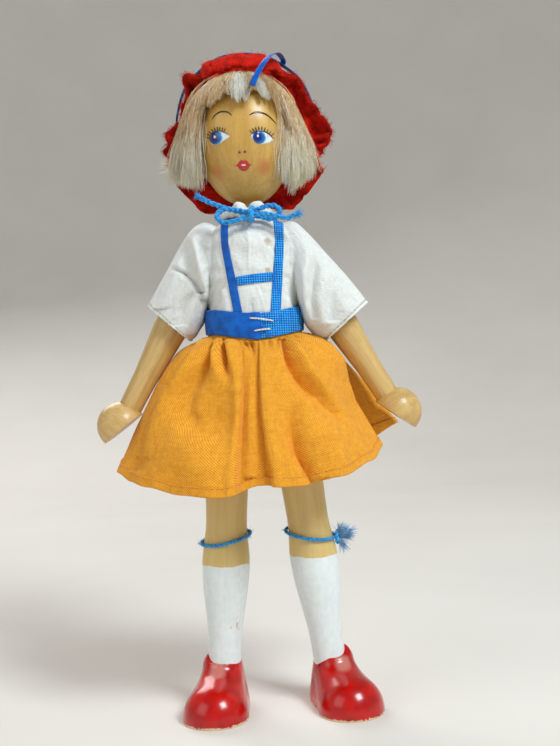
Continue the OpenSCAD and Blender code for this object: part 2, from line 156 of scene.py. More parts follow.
def new_object(name, verts, loops, sizes, material, uv=None):
    """An object from millimetre points, a flat list of corners and each face's corner count."""
    mesh = bpy.data.meshes.new(name)
    verts = np.asarray(verts, float).reshape(-1, 3) * MM
    loops = np.asarray(loops, np.int32).ravel()
    sizes = np.asarray(sizes, np.int32)
    mesh.vertices.add(len(verts))
    mesh.vertices.foreach_set("co", verts.ravel())
    mesh.loops.add(len(loops))
    mesh.loops.foreach_set("vertex_index", loops)
    mesh.polygons.add(len(sizes))
    mesh.polygons.foreach_set("loop_start", np.concatenate([[0], np.cumsum(sizes)[:-1]]))
    mesh.polygons.foreach_set("loop_total", sizes)
    if uv is not None:
        layer = mesh.uv_layers.new(name="UVMap")
        layer.data.foreach_set("uv", np.asarray(uv, float).ravel())
    mesh.update(calc_edges=True)
    mesh.validate()
    mesh.polygons.foreach_set("use_smooth", [True] * len(mesh.polygons))
    mesh.materials.append(material)
    obj = bpy.data.objects.new(name, mesh)
    bpy.context.scene.collection.objects.link(obj)
    return obj


def with_modifiers(obj, *modifiers):
    """Adds each (kind, settings), then makes the result the object's own mesh."""
    for kind, settings in modifiers:
        m = obj.modifiers.new(kind.lower(), kind)
        for key, value in settings.items():
            setattr(m, key, value)
    graph = bpy.context.evaluated_depsgraph_get()
    mesh = bpy.data.meshes.new_from_object(obj.evaluated_get(graph), depsgraph=graph)
    obj.modifiers.clear()
    obj.data = mesh
    mesh.polygons.foreach_set("use_smooth", [True] * len(mesh.polygons))
    return obj


def grid(name, points, material, around=False, along=False, caps=False):
    """A quad mesh over points[row][column], with UVs in millimetres. caps close the first and last row."""
    p = np.asarray(points, float)
    rows, cols = p.shape[:2]
    j = np.arange(rows if along else rows - 1)
    i = np.arange(cols if around else cols - 1)
    jj, ii = np.meshgrid(j, i, indexing="ij")
    j2, i2 = (jj + 1) % rows, (ii + 1) % cols
    quads = np.stack([jj * cols + ii, jj * cols + i2, j2 * cols + i2, j2 * cols + ii], axis=-1)
    mid = p[rows // 2]
    u = np.concatenate([[0], np.cumsum(np.linalg.norm(np.diff(mid, axis=0), axis=1))])
    u = np.append(u, u[-1] + np.linalg.norm(mid[0] - mid[-1]))
    v = np.concatenate([[0], np.cumsum(np.linalg.norm(np.diff(p, axis=0), axis=2).mean(axis=1))])
    v = np.append(v, v[-1] + np.linalg.norm(p[0] - p[-1], axis=1).mean())
    uv = np.stack([
        np.stack([u[ii], u[ii + 1], u[ii + 1], u[ii]], axis=-1),
        np.stack([v[jj], v[jj], v[jj + 1], v[jj + 1]], axis=-1)
    ], axis=-1)
    loops, sizes, uvs = quads.reshape(-1), [4] * quads[..., 0].size, uv.reshape(-1, 2)
    if caps:
        low = np.arange(cols)[::-1]
        high = (rows - 1) * cols + np.arange(cols)
        loops = np.concatenate([loops, low, high])
        sizes = sizes + [cols, cols]
        uvs = np.concatenate([uvs, np.zeros((2 * cols, 2))])
    return new_object(name, p, loops, sizes, material, uvs)


def cloth(name, points, material, thickness, around=False, levels=0):
    """A sheet of cloth over a grid of points, thickened and smoothed."""
    obj = grid(name, points, material, around=around)
    steps = [("SOLIDIFY", {"thickness": thickness * MM, "offset": 0.0})]
    if levels:
        steps.append(("SUBSURF", {"levels": levels, "render_levels": levels}))
    return with_modifiers(obj, *steps)


def tubes(name, paths, radii, material, sides=3, closed=False):
    """Round threads along paths[thread][station], with a radius at each station, as closed solids."""
    p = np.asarray(paths, float)
    n, m = p.shape[:2]
    r = np.broadcast_to(np.asarray(radii, float), (n, m))
    if closed:
        along = unit(np.roll(p, -1, axis=1) - np.roll(p, 1, axis=1))
    else:
        along = unit(np.gradient(p, axis=1))
    u = np.zeros_like(p)
    start = np.cross(along[:, 0], [0.31, 0.83, 0.46])
    u[:, 0] = unit(start)
    for k in range(1, m):
        flat = u[:, k - 1] - along[:, k] * (u[:, k - 1] * along[:, k]).sum(-1, keepdims=True)
        u[:, k] = unit(flat)
    v = np.cross(along, u)
    turn = 2 * np.pi * np.arange(sides) / sides
    ring = (p[:, :, None] + r[:, :, None, None]
            * (np.cos(turn)[:, None] * u[:, :, None] + np.sin(turn)[:, None] * v[:, :, None]))
    base = (np.arange(n) * m * sides)[:, None, None]
    j = np.arange(m if closed else m - 1)[None, :, None]
    i = np.arange(sides)[None, None, :]
    j2, i2 = (j + 1) % m, (i + 1) % sides
    quads = np.stack([base + j * sides + i, base + j * sides + i2, base + j2 * sides + i2,
                      base + j2 * sides + i], axis=-1).reshape(-1)
    sizes = [4] * (quads.size // 4)
    loops = [quads]
    if not closed:
        low = (base[:, 0] + np.arange(sides)[::-1]).reshape(-1)
        high = (base[:, 0] + (m - 1) * sides + np.arange(sides)).reshape(-1)
        loops += [low, high]
        sizes += [sides] * (2 * n)
    return new_object(name, ring, np.concatenate(loops), sizes, material)


def join(name, objects):
    """Joins objects into the first one and renames it."""
    bpy.ops.object.select_all(action="DESELECT")
    for o in objects:
        o.select_set(True)
    bpy.context.view_layer.objects.active = objects[0]
    bpy.ops.object.join()
    objects[0].name = name
    return objects[0]


# ------------------------------------------------------------------ materials

def rgb(r, g, b):
    """A colour given as 0 to 255 screen values, in the linear values that Blender uses."""
    def linear(c):
        c = c / 255
        return c / 12.92 if c <= 0.04045 else ((c + 0.055) / 1.055) ** 2.4
    return (linear(r), linear(g), linear(b), 1.0)


class Paint:
    """A material with short ways to add nodes."""

    def __init__(self, name, **sockets):
        self.material = bpy.data.materials.new(name)
        self.material.use_nodes = True
        self.tree = self.material.node_tree
        self.bsdf = self.tree.nodes["Principled BSDF"]
        for key, value in sockets.items():
            self.bsdf.inputs[key.replace("_", " ")].default_value = value
        self.coords = self.tree.nodes.new("ShaderNodeTexCoord")

    def node(self, kind, sockets=None, **settings):
        n = self.tree.nodes.new("ShaderNode" + kind)
        for key, value in settings.items():
            setattr(n, key, value)
        for key, value in (sockets or {}).items():
            self.feed(n.inputs[key], value)
        return n

    def feed(self, socket, value):
        if isinstance(value, bpy.types.NodeSocket):
            self.tree.links.new(value, socket)
        else:
            socket.default_value = value

    def place(self, scale=(1, 1, 1), turn=(0, 0, 0), uv=False, shift=(0, 0, 0)):
        """Coordinates in millimetres, turned by degrees and then scaled."""
        source = self.coords.outputs["UV" if uv else "Object"]
        k = 1 if uv else 1 / MM
        turned = self.node("Mapping", {"Vector": source, "Rotation": [math.radians(a) for a in turn]})
        return self.node("Mapping", {
            "Vector": turned.outputs[0], "Scale": [k * s for s in scale], "Location": shift}).outputs[0]

    def noise(self, vector, scale=1.0, detail=3.0, rough=0.5, twist=0.0):
        return self.node("TexNoise", {"Vector": vector, "Scale": scale, "Detail": detail,
                                      "Roughness": rough, "Distortion": twist}).outputs["Fac"]

    def ramp(self, value, *stops):
        """A colour from stops of (place, colour)."""
        n = self.node("ValToRGB", {"Fac": value})
        while len(n.color_ramp.elements) < len(stops):
            n.color_ramp.elements.new(0.5)
        for element, (at, colour) in zip(n.color_ramp.elements, stops):
            element.position = at
            element.color = colour
        return n.outputs["Color"]

    def between(self, value, low, high):
        """0 below low and 1 above high, with a soft step between."""
        return self.node("MapRange", {"Value": value, "From Min": low, "From Max": high},
                         interpolation_type="SMOOTHSTEP").outputs["Result"]

    def math(self, operation, a, b=0.0):
        return self.node("Math", {0: a, 1: b}, operation=operation).outputs[0]

    def distance(self, a, b):
        return self.node("VectorMath", {0: a, 1: b}, operation="DISTANCE").outputs["Value"]

    def times(self, a, b):
        return self.math("MULTIPLY", a, b)

    def plus(self, a, b):
        return self.math("ADD", a, b)

    def minus(self, a, b):
        return self.math("SUBTRACT", a, b)

    def mix(self, share, a, b):
        n = self.node("Mix", {"Factor": share}, data_type="RGBA")
        self.feed(n.inputs[6], a)
        self.feed(n.inputs[7], b)
        return n.outputs[2]

    def split(self, vector):
        return self.node("SeparateXYZ", {"Vector": vector}).outputs

    def colour(self, value):
        self.feed(self.bsdf.inputs["Base Color"], value)

    def rough(self, value):
        self.feed(self.bsdf.inputs["Roughness"], value)

    def bump(self, height, depth_mm, strength=1.0):
        n = self.node("Bump", {"Height": height, "Distance": depth_mm * MM, "Strength": strength})
        self.feed(self.bsdf.inputs["Normal"], n.outputs["Normal"])


def wood_colours(paint, turn):
    """Turned pale wood: soft growth rings, fine streaks and short dark pores along the grain."""
    rings = paint.noise(paint.place((0.35, 0.35, 0.02), turn), detail=4.0, twist=0.6)
    streaks = paint.noise(paint.place((2.6, 2.6, 0.09), turn, shift=(3, 7, 1)), detail=5.0, rough=0.6)
    pores = paint.noise(paint.place((4.5, 4.5, 0.55), turn, shift=(9, 2, 5)), detail=2.0)
    base = paint.ramp(rings, (0.25, rgb(186, 146, 80)), (0.5, rgb(206, 170, 104)),
                      (0.75, rgb(218, 186, 124)))
    base = paint.mix(paint.times(paint.between(streaks, 0.42, 0.72), 0.4), base, rgb(168, 120, 58))
    dark = paint.between(pores, 0.68, 0.78)
    return paint.mix(paint.times(dark, 0.5), base, rgb(118, 80, 38)), streaks, dark


def wood(name, turn=(0, 0, 0)):
    paint = Paint(name, Coat_Weight=0.35, Coat_Roughness=0.22)
    colour, streaks, pores = wood_colours(paint, turn)
    paint.colour(colour)
    paint.rough(paint.between(streaks, -0.6, 1.6))
    paint.bump(paint.minus(streaks, pores), 0.05, 0.6)
    return paint


def leg_wood(name, turn, sock_top, smear=None):
    """Wood above and a brushed-on white sock below, with a wavy edge."""
    paint = Paint(name, Coat_Weight=0.3, Coat_Roughness=0.25)
    colour, streaks, pores = wood_colours(paint, turn)
    colour = paint.mix(0.55, colour, rgb(226, 200, 126))
    place = paint.place()
    wobble = paint.noise(place, scale=0.18, detail=2.0)
    height = paint.split(place)[2]
    edge = paint.plus(height, paint.times(wobble, 1.6))
    sock = paint.minus(1.0, paint.between(edge, sock_top + 0.75, sock_top + 0.95))
    brush = paint.noise(paint.place((0.7, 0.7, 0.5)), detail=4.0)
    white = paint.ramp(brush, (0.3, rgb(220, 228, 228)), (0.7, rgb(232, 238, 237)))
    if smear:
        near = paint.distance(place, smear)
        spots = paint.between(paint.noise(paint.place((2.2, 2.2, 0.7)), detail=3.0), 0.56, 0.66)
        touch = paint.times(spots, paint.minus(1.0, paint.between(near, 0.8, 3.0)))
        white = paint.mix(paint.times(touch, 0.8), white, rgb(205, 70, 80))
    paint.colour(paint.mix(sock, colour, white))
    paint.rough(paint.between(brush, -1.2, 2.0))
    grain = paint.times(paint.minus(streaks, pores), paint.minus(1.0, sock))
    paint.bump(paint.plus(grain, paint.times(sock, brush)), 0.06, 0.6)
    return paint


def head_wood(cheeks):
    """Varnished egg with dabbed-on cheeks. cheeks are (place, radius, strength)."""
    paint = Paint("painted_head_wood", Coat_Weight=0.45, Coat_Roughness=0.26, Specular_IOR_Level=0.4)
    place = paint.place()
    rings = paint.noise(paint.place((0.22, 0.22, 0.03)), detail=4.0, twist=0.8)
    streaks = paint.noise(paint.place((1.9, 1.9, 0.12)), detail=4.0, rough=0.6)
    colour = paint.ramp(rings, (0.3, rgb(188, 142, 60)), (0.55, rgb(202, 160, 78)),
                        (0.8, rgb(212, 174, 96)))
    colour = paint.mix(paint.times(paint.between(streaks, 0.45, 0.8), 0.45), colour, rgb(156, 104, 38))
    mottle = paint.noise(place, scale=0.9, detail=3.0)
    for at, radius, strength in cheeks:
        far = paint.distance(place, at)
        far = paint.plus(far, paint.times(mottle, 1.6))
        near = paint.minus(1.0, paint.between(far, 0.8, radius + 0.8))
        colour = paint.mix(paint.times(near, strength), colour, rgb(190, 84, 34))
    dots = paint.noise(paint.place((2.4, 2.4, 2.4), shift=(4, 4, 4)), detail=1.0)
    specks = paint.between(dots, 0.68, 0.76)
    paint.colour(paint.mix(paint.times(specks, 0.5), colour, rgb(140, 86, 34)))
    paint.rough(paint.between(mottle, -1.4, 2.2))
    paint.bump(streaks, 0.02, 0.4)
    return paint


def flat_paint(name, colour):
    """Thin brush paint for a drawn feature, with a trace of streaks."""
    paint = Paint(name, Coat_Weight=0.6, Coat_Roughness=0.12)
    streak = paint.noise(paint.place((2.5, 2.5, 1.2)), detail=3.0)
    darker = tuple(c * 0.72 for c in colour[:3]) + (1.0,)
    paint.colour(paint.mix(paint.between(streak, 0.35, 0.75), colour, darker))
    paint.rough(paint.between(streak, 0.052, 2.4))
    paint.bump(streak, 0.01, 0.3)
    return paint.material


def enamel(worn_at, worn_size):
    """Glossy red enamel over wood: rubbed pink on the instep and chipped along the sole's edge."""
    paint = Paint("red_enamel_worn", Coat_Weight=0.5, Coat_Roughness=0.22, Specular_IOR_Level=0.3)
    place = paint.place()
    cloud = paint.noise(place, scale=0.22, detail=4.0)
    red = paint.ramp(cloud, (0.3, rgb(160, 4, 2)), (0.6, rgb(194, 8, 3)), (0.85, rgb(206, 20, 8)))
    local = paint.node("VectorMath", {0: place, 1: worn_at}, operation="SUBTRACT").outputs[0]
    local = paint.node("VectorMath", {0: local, 1: worn_size}, operation="DIVIDE").outputs[0]
    reach = paint.node("VectorMath", {0: local}, operation="LENGTH").outputs["Value"]
    reach = paint.plus(reach, paint.times(cloud, 0.5))
    rubbed = paint.minus(1.0, paint.between(reach, 0.75, 1.3))
    red = paint.mix(paint.times(rubbed, 0.75), red, rgb(206, 132, 122))
    grit = paint.noise(place, scale=1.3, detail=4.0, rough=0.6)
    height = paint.split(place)[2]
    edge = paint.minus(height, paint.times(grit, 2.2))
    chip = paint.minus(1.0, paint.between(edge, -0.60, -0.48))
    paint.colour(paint.mix(chip, red, rgb(226, 196, 160)))
    paint.rough(paint.plus(0.2, paint.times(chip, 0.5)))
    paint.bump(paint.minus(paint.times(cloud, 0.3), chip), 0.09, 0.7)
    return paint.material


def weave_height(paint, period):
    """Plain weave over UVs in millimetres, with threads that are thick and thin along their length."""
    wander = paint.noise(paint.place((0.35, 0.35, 1), uv=True), detail=3.0)
    fine = paint.noise(paint.place((1.7, 1.7, 1), uv=True), detail=2.0)
    u, v = paint.split(paint.place(uv=True))[:2]
    turn = 2 * math.pi / period
    drift = paint.times(fine, 0.8)
    warp = paint.math("SINE", paint.plus(paint.times(u, turn), drift))
    weft = paint.math("SINE", paint.plus(paint.times(v, turn), drift))
    cross = paint.times(warp, weft)
    slub_u = paint.noise(paint.place((1 / period, 0.45, 1), uv=True), detail=2.0, rough=0.6)
    slub_v = paint.noise(paint.place((0.45, 1 / period, 1), uv=True, shift=(5, 3, 0)), detail=2.0,
                         rough=0.6)
    slub = paint.plus(slub_u, slub_v)
    crease = paint.noise(paint.place((0.30, 0.22, 1), uv=True, shift=(9, 2, 0)), detail=3.0, twist=0.6)
    height = paint.plus(paint.times(cross, 0.5), slub)
    height = paint.plus(height, paint.times(crease, 7.0))
    return height, cross, slub, wander


def cotton(name, light, deep, period=0.42, contrast=0.5, knit=0.25, spots=()):
    """Plain-weave cotton with slubs, soft creases and a little sheen."""
    paint = Paint(name, Roughness=0.9, Sheen_Weight=0.08, Sheen_Roughness=0.5, Specular_IOR_Level=0.15)
    height, cross, slub, wander = weave_height(paint, period)
    tone = paint.plus(paint.times(slub, 0.6), 0.4)
    tone = paint.plus(tone, paint.times(cross, knit))
    colour = paint.mix(paint.times(paint.between(tone, 1.25, 0.7), contrast), light, deep)
    colour = paint.mix(paint.times(paint.between(wander, 0.45, 0.75), 0.15), colour, deep)
    for at, radius, stain in spots:
        far = paint.distance(paint.place(), at)
        far = paint.plus(far, paint.times(slub, 0.8))
        near = paint.minus(1.0, paint.between(far, radius * 0.4 + 0.8, radius + 0.8))
        colour = paint.mix(paint.times(near, 0.6), colour, stain)
    paint.colour(colour)
    paint.bump(height, 0.14, 0.8)
    return paint.material


def felt(name, light, deep):
    """Brushed wool felt: soft cloudy colour and matted fibres."""
    paint = Paint(name, Roughness=0.95, Sheen_Weight=0.25, Sheen_Roughness=0.4, Specular_IOR_Level=0.08)
    paint.bsdf.inputs["Sheen Tint"].default_value = rgb(255, 120, 90)
    place = paint.place()
    cloud = paint.noise(place, scale=0.35, detail=3.0)
    fibre = paint.noise(place, scale=2.2, detail=6.0, rough=0.7, twist=1.4)
    tone = paint.plus(paint.times(cloud, 0.45), paint.times(fibre, 0.55))
    paint.colour(paint.ramp(tone, (0.36, deep), (0.56, light)))
    paint.bump(fibre, 0.35, 1.0)
    return paint.material


def embossed_ribbon(name, light, deep, emboss):
    """Shiny ribbon pressed with slanting rows of raised dots; in patches the dots are painted light cyan as
    a painted highlight, stronger the deeper the emboss.
    """
    paint = Paint(name, Roughness=0.45, Coat_Weight=0.06, Coat_Roughness=0.3, Specular_IOR_Level=0.25)
    x, _, z = paint.split(paint.place())
    turn = 2 * math.pi / 1.3
    rows = paint.math("SINE", paint.times(paint.plus(x, z), turn))
    dots = paint.math("SINE", paint.times(paint.minus(x, z), turn))
    press = paint.between(paint.times(rows, dots), 0.05, 0.5)
    place = paint.place()
    cloud = paint.noise(place, scale=0.4, detail=3.0)
    patches = paint.between(paint.noise(paint.place(shift=(3, 1, 8)), scale=0.35, detail=4.0, rough=0.7),
                            0.30, 0.52)
    fine = paint.noise(place, scale=5.0, detail=3.0)
    colour = paint.mix(paint.between(cloud, 0.3, 0.7), deep, light)
    # painted highlight: in patches the pressed dots are painted light cyan, as if they catch the light
    painted_dot_glints = paint.times(paint.times(press, patches), emboss)
    colour = paint.mix(painted_dot_glints, colour, rgb(70, 196, 250))
    paint.colour(colour)
    height = paint.plus(paint.times(press, emboss), paint.times(fine, 0.35))
    paint.bump(height, 0.10, 0.8)
    return paint.material


def fibres(name, light, deep, sheen=0.4, roughness=0.7, stretch=(1, 1, 1), roots_and_hat_shade=None, shine=0.3):
    """Wool, thread or hair, streaked along the strands; the optional darker top, given as (height, colour),
    is partly golden-brown roots and partly painted shade under the hat.
    """
    paint = Paint(name, Roughness=roughness, Sheen_Weight=sheen, Sheen_Roughness=0.4,
                  Specular_IOR_Level=shine)
    cloud = paint.noise(paint.place(stretch), detail=4.0, rough=0.65)
    fine = paint.noise(paint.place(), scale=5.0, detail=3.0)
    tone = paint.plus(paint.times(cloud, 0.75), paint.times(fine, 0.25))
    colour = paint.ramp(tone, (0.36, deep), (0.58, light))
    if roots_and_hat_shade:
        height, root = roots_and_hat_shade
        # painted shade under the hat: towards the top the hair is mixed to a darker golden colour, which is
        # partly its real golden-brown roots
        clump = paint.noise(paint.place((0.45, 0.45, 0.06), shift=(2, 6, 1)), detail=3.0)
        z = paint.plus(paint.split(paint.place())[2], paint.times(clump, 34.0))
        share = paint.times(paint.between(z, height + 14.0, height + 26.0),
                           paint.plus(paint.times(paint.between(tone, 0.58, 0.40), 0.6), 0.4))
        colour = paint.mix(share, colour, root)
    paint.colour(colour)
    paint.bump(fine, 0.05, 0.5)
    return paint.material


def steel():
    paint = Paint("drawn_steel", Metallic=1.0)
    lines = paint.noise(paint.place((0.4, 4.0, 4.0)), detail=4.0)
    paint.colour(paint.ramp(lines, (0.3, rgb(120, 120, 118)), (0.7, rgb(180, 180, 178))))
    paint.rough(paint.between(lines, -0.6, 1.8))
    paint.bump(lines, 0.02, 0.4)
    return paint.material


# Degrees: how far arms and legs lean out, how far the hands' grain and the toes turn
ARM_SPLAY = 30
HAND_GRAIN = 58
LEG_SPLAY = {LEFT: 3.6, RIGHT: 6.0}
TOE_OUT = {LEFT: 10, RIGHT: 22}
SOCK_TOP = {LEFT: 41.4, RIGHT: 42.8}
SOCK_SMEAR = (-9.7, -3.6, 24.5)
RED_PAINT = rgb(196, 6, 10)
BLACK_PAINT = rgb(16, 14, 16)
WHITE_PAINT = rgb(232, 236, 238)

# the darker golden top of the blond mohair is partly real root colour and partly painted shade under the
# hat
mohair = fibres("blond_mohair", rgb(255, 253, 240), rgb(212, 188, 126), sheen=0.2, roughness=0.45,
                stretch=(2.4, 2.4, 0.09), roots_and_hat_shade=(158.0, rgb(208, 152, 58)), shine=0.7)
mohair_pale = fibres("bleached_mohair", rgb(255, 255, 250), rgb(224, 212, 178), sheen=0.2, roughness=0.45,
                     stretch=(2.4, 2.4, 0.09), shine=0.7)
# painted shade: the hair under the locks and at the back is coloured darker golden-brown than the locks
mohair_under_painted_shade = fibres("blond_mohair_under_painted_shade", rgb(206, 178, 116), rgb(136, 98, 44), roughness=0.8,
                      stretch=(1.8, 1.8, 0.12))
red_felt = felt("red_wool_felt", rgb(222, 34, 20), rgb(136, 8, 6))
STAIN = rgb(196, 160, 92)
white_cotton = cotton("white_blouse_cotton", rgb(240, 242, 240), rgb(204, 203, 194), period=0.5,
                      contrast=0.6,
                      spots=(((4.9, -12.4, 123.5), 1.1, STAIN), ((-9.3, -9.5, 136.3), 1.2, STAIN),
                             ((5.2, -12.3, 131.6), 1.6, rgb(176, 148, 118)),
                             ((-4.4, -12.5, 121.6), 0.7, STAIN)))
frill_cotton = cotton("white_frill_cotton", rgb(240, 240, 236), rgb(208, 206, 198), period=0.40,
                      contrast=0.35)
orange_cotton = cotton("orange_skirt_cotton", rgb(250, 178, 56), rgb(196, 104, 14), period=0.62,
                       contrast=0.62, knit=0.4)
blue_wool = fibres("light_blue_wool", rgb(66, 178, 240), rgb(12, 110, 192), sheen=0.2, roughness=0.85,
                   stretch=(1.4, 1.4, 1.4))
garter_wool = fibres("washed_blue_wool", rgb(150, 198, 232), rgb(60, 126, 184), sheen=0.5, roughness=0.85)
hem_thread = fibres("undyed_hem_thread", rgb(206, 196, 172), rgb(150, 138, 112), stretch=(2, 2, 2))
white_thread = fibres("white_sewing_thread", rgb(244, 242, 234), rgb(190, 186, 174), stretch=(2, 2, 2))
orange_thread = fibres("orange_sewing_thread", rgb(232, 150, 44), rgb(160, 80, 10), stretch=(2, 2, 2))
# both ribbons carry painted highlights on their raised dots, faint on the smooth one and strong on the
# embossed one
smooth_ribbon = embossed_ribbon("blue_ribbon_smooth", rgb(0, 100, 200), rgb(0, 74, 164), 0.06)
rough_ribbon = embossed_ribbon("blue_ribbon_embossed_painted_glints", rgb(0, 110, 208), rgb(0, 80, 170), 0.9)
wire = steel()


# ------------------------------------------------------------------ camera, light and floor

EYE_HEIGHT = 95.2
EYE_DISTANCE = 280.0
EYE_SIDE = 6.6
EYE_ROLL = 3.0
EYE_LENS = 46.9
FRAME_LONG_SIDE = 36.0


def make_camera():
    data = bpy.data.cameras.new("camera")
    data.sensor_width = FRAME_LONG_SIDE
    data.lens = EYE_LENS
    data.clip_start = 0.01
    data.clip_end = 20
    camera = bpy.data.objects.new("camera", data)
    bpy.context.scene.collection.objects.link(camera)
    level = Matrix.Rotation(math.radians(90), 4, "X") @ Matrix.Rotation(math.radians(-EYE_ROLL), 4, "Z")
    place = Vector((EYE_SIDE, -EYE_DISTANCE, EYE_HEIGHT)) * MM
    camera.matrix_world = Matrix.Translation(place) @ level
    bpy.context.scene.camera = camera


CHEST = (0, 0, 0.11)
# Name, place in metres, side in metres, power in watts and colour
LIGHTS = [
    ("key", (0.36, -0.40, 0.62), 0.24, 5.0, (0.86, 0.955, 1.0)),
    ("fill", (-0.60, -0.42, 0.50), 0.5, 1.2, (0.94, 0.97, 1.0)),
    ("rim", (-0.3, 0.6, 0.6), 0.45, 3.0, (1.0, 1.0, 1.0)),
]


def make_light(name, place, size, power, colour):
    """A square soft light that looks at the doll's chest."""
    data = bpy.data.lights.new(name, "AREA")
    data.shape = "SQUARE"
    data.size = size
    data.energy = power
    data.color = colour
    light = bpy.data.objects.new(name, data)
    bpy.context.scene.collection.objects.link(light)
    at = Vector(place)
    light.location = at
    light.rotation_euler = (Vector(CHEST) - at).to_track_quat("-Z", "Y").to_euler()


def make_stage():
    """A pale floor that curves up into a wall all the way round."""
    flat, bend, wall = 480.0, 720.0, 1500.0
    profile = [(1.0, 0.0), (flat / 2, 0.0), (flat, 0.0)]
    profile += [(flat + bend * math.sin(a), bend * (1 - math.cos(a)))
                for a in np.linspace(0.02, math.pi / 2, 70)]
    profile.append((flat + bend, wall))
    turn = np.linspace(0, 2 * np.pi, 192, endpoint=False)
    rows = [[(r * math.cos(a), r * math.sin(a), z) for a in turn] for r, z in profile]
    paint = Paint("pale_floor", Roughness=0.9, Specular_IOR_Level=0.15)
    mottle = paint.noise(paint.place(), scale=0.01, detail=3.0)
    paint.colour(paint.ramp(mottle, (0.3, rgb(226, 221, 214)), (0.7, rgb(231, 226, 219))))
    floor = grid("floor", rows, paint.material, around=True)
    centre = new_object("floor_middle", rows[0], np.arange(192), [192], paint.material)


def make_world():
    world = bpy.data.worlds.new("studio")
    bpy.context.scene.world = world
    bpy.context.scene.view_settings.view_transform = "Standard"
    world.use_nodes = True
    background = world.node_tree.nodes["Background"]
    background.inputs["Color"].default_value = rgb(236, 240, 246)
    background.inputs["Strength"].default_value = 0.25


# ------------------------------------------------------------------ head and painted face

def egg_radius(z, grow=0.0):
    share = (np.asarray(z, float) - HEAD_MID) / (HEAD_HALF_H + grow)
    return (HEAD_R + grow) * np.sqrt(np.maximum(0, 1 - share ** 2))


def on_face(x, height, lift):
    """The place on the egg at x and a height above the chin, lifted off the surface."""
    z = CHIN + height
    y = -np.sqrt(np.maximum(0.01, egg_radius(z) ** 2 - x ** 2))
    normal = np.array([x / HEAD_R ** 2, y / HEAD_R ** 2, (z - HEAD_MID) / HEAD_HALF_H ** 2])
    return np.array([x, y, z]) + unit(normal) * lift


def make_head():
    rows = []
    for a in np.radians(np.linspace(-89, 89, 72)):
        r, z = HEAD_R * math.cos(a), HEAD_MID + HEAD_HALF_H * math.sin(a)
        rows.append([(r * math.cos(t), r * math.sin(t), z)
                     for t in np.linspace(0, 2 * np.pi, 96, endpoint=False)])
    cheeks = [(tuple(on_face(*at, 0)), radius, strength) for at, radius, strength in CHEEKS]
    head = grid("painted_head", rows, head_wood(cheeks).material, around=True, caps=True)
    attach(head, "head")
    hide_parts("head")


def patch(outline, lift, rings=5):
    """A filled patch on the face inside an outline of (x, height), as points and faces."""
    edge = np.array(outline, float)
    middle = edge.mean(axis=0)
    points, faces = [on_face(middle[0], middle[1], lift)], []
    n = len(edge)
    for k in range(1, rings + 1):
        for e in edge:
            at = middle + (e - middle) * k / rings
            points.append(on_face(at[0], at[1], lift))
    for i in range(n):
        faces.append((0, 1 + i, 1 + (i + 1) % n))
    for k in range(rings - 1):
        for i in range(n):
            a, b = 1 + k * n + i, 1 + k * n + (i + 1) % n
            faces.append((a, a + n, b + n, b))
    return points, faces


def smooth_outline(points):
    """A closed smooth outline through a few points."""
    steps = 6
    p = [points[-2], points[-1], *points, points[0], points[1], points[2]]
    curve = spline([(x, y, 0) for x, y in p], steps)
    return curve[2 * steps:-3 * steps, :2]


def ellipse(x, height, rx, rz, tilt=0.0, n=28):
    a = np.linspace(0, 2 * np.pi, n, endpoint=False)
    c, s = math.cos(math.radians(tilt)), math.sin(math.radians(tilt))
    return np.stack([x + rx * np.cos(a) * c - rz * np.sin(a) * s,
                     height + rx * np.cos(a) * s + rz * np.sin(a) * c], axis=1)


# How thin a brush stroke gets at its two ends, as a share of its width
STROKE_START, STROKE_END = 0.15, 0.1


def stroke(points, width):
    """The outline of a brush stroke through (x, height) points, widest in its middle."""
    line = spline([(x, y, 0) for x, y in points], 6)[:, :2]
    t = np.linspace(0, 1, len(line))
    swell = np.sin(np.pi * np.clip(t, 0, 1)) ** 0.6
    half = width / 2 * np.maximum(swell, STROKE_START * (1 - t) + STROKE_END * t)
    along = unit(np.gradient(line, axis=0))
    side = np.stack([-along[:, 1], along[:, 0]], axis=1)
    return line, side * half[:, None]


def stroke_patch(points, width, lift):
    line, side = stroke(points, width)
    verts, faces = [], []
    for at, half in zip(line, side):
        for k in (-1, 0, 1):
            verts.append(on_face(*(at + half * k), lift))
    for i in range(len(line) - 1):
        for k in (0, 1):
            a = 3 * i + k
            faces.append((a, a + 3, a + 4, a + 1))
    return verts, faces


def paint_layer(name, patches, material):
    """One thin painted layer from several patches, as a closed skin."""
    verts, loops, sizes = [], [], []
    for points, faces in patches:
        start = len(verts)
        verts.extend(points)
        for f in faces:
            loops.extend(start + i for i in f)
            sizes.append(len(f))
    obj = new_object(name, verts, loops, sizes, material)
    with_modifiers(obj, ("SOLIDIFY", {"thickness": 0.03 * MM, "offset": 0.0}))
    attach(obj, "head")
    return obj


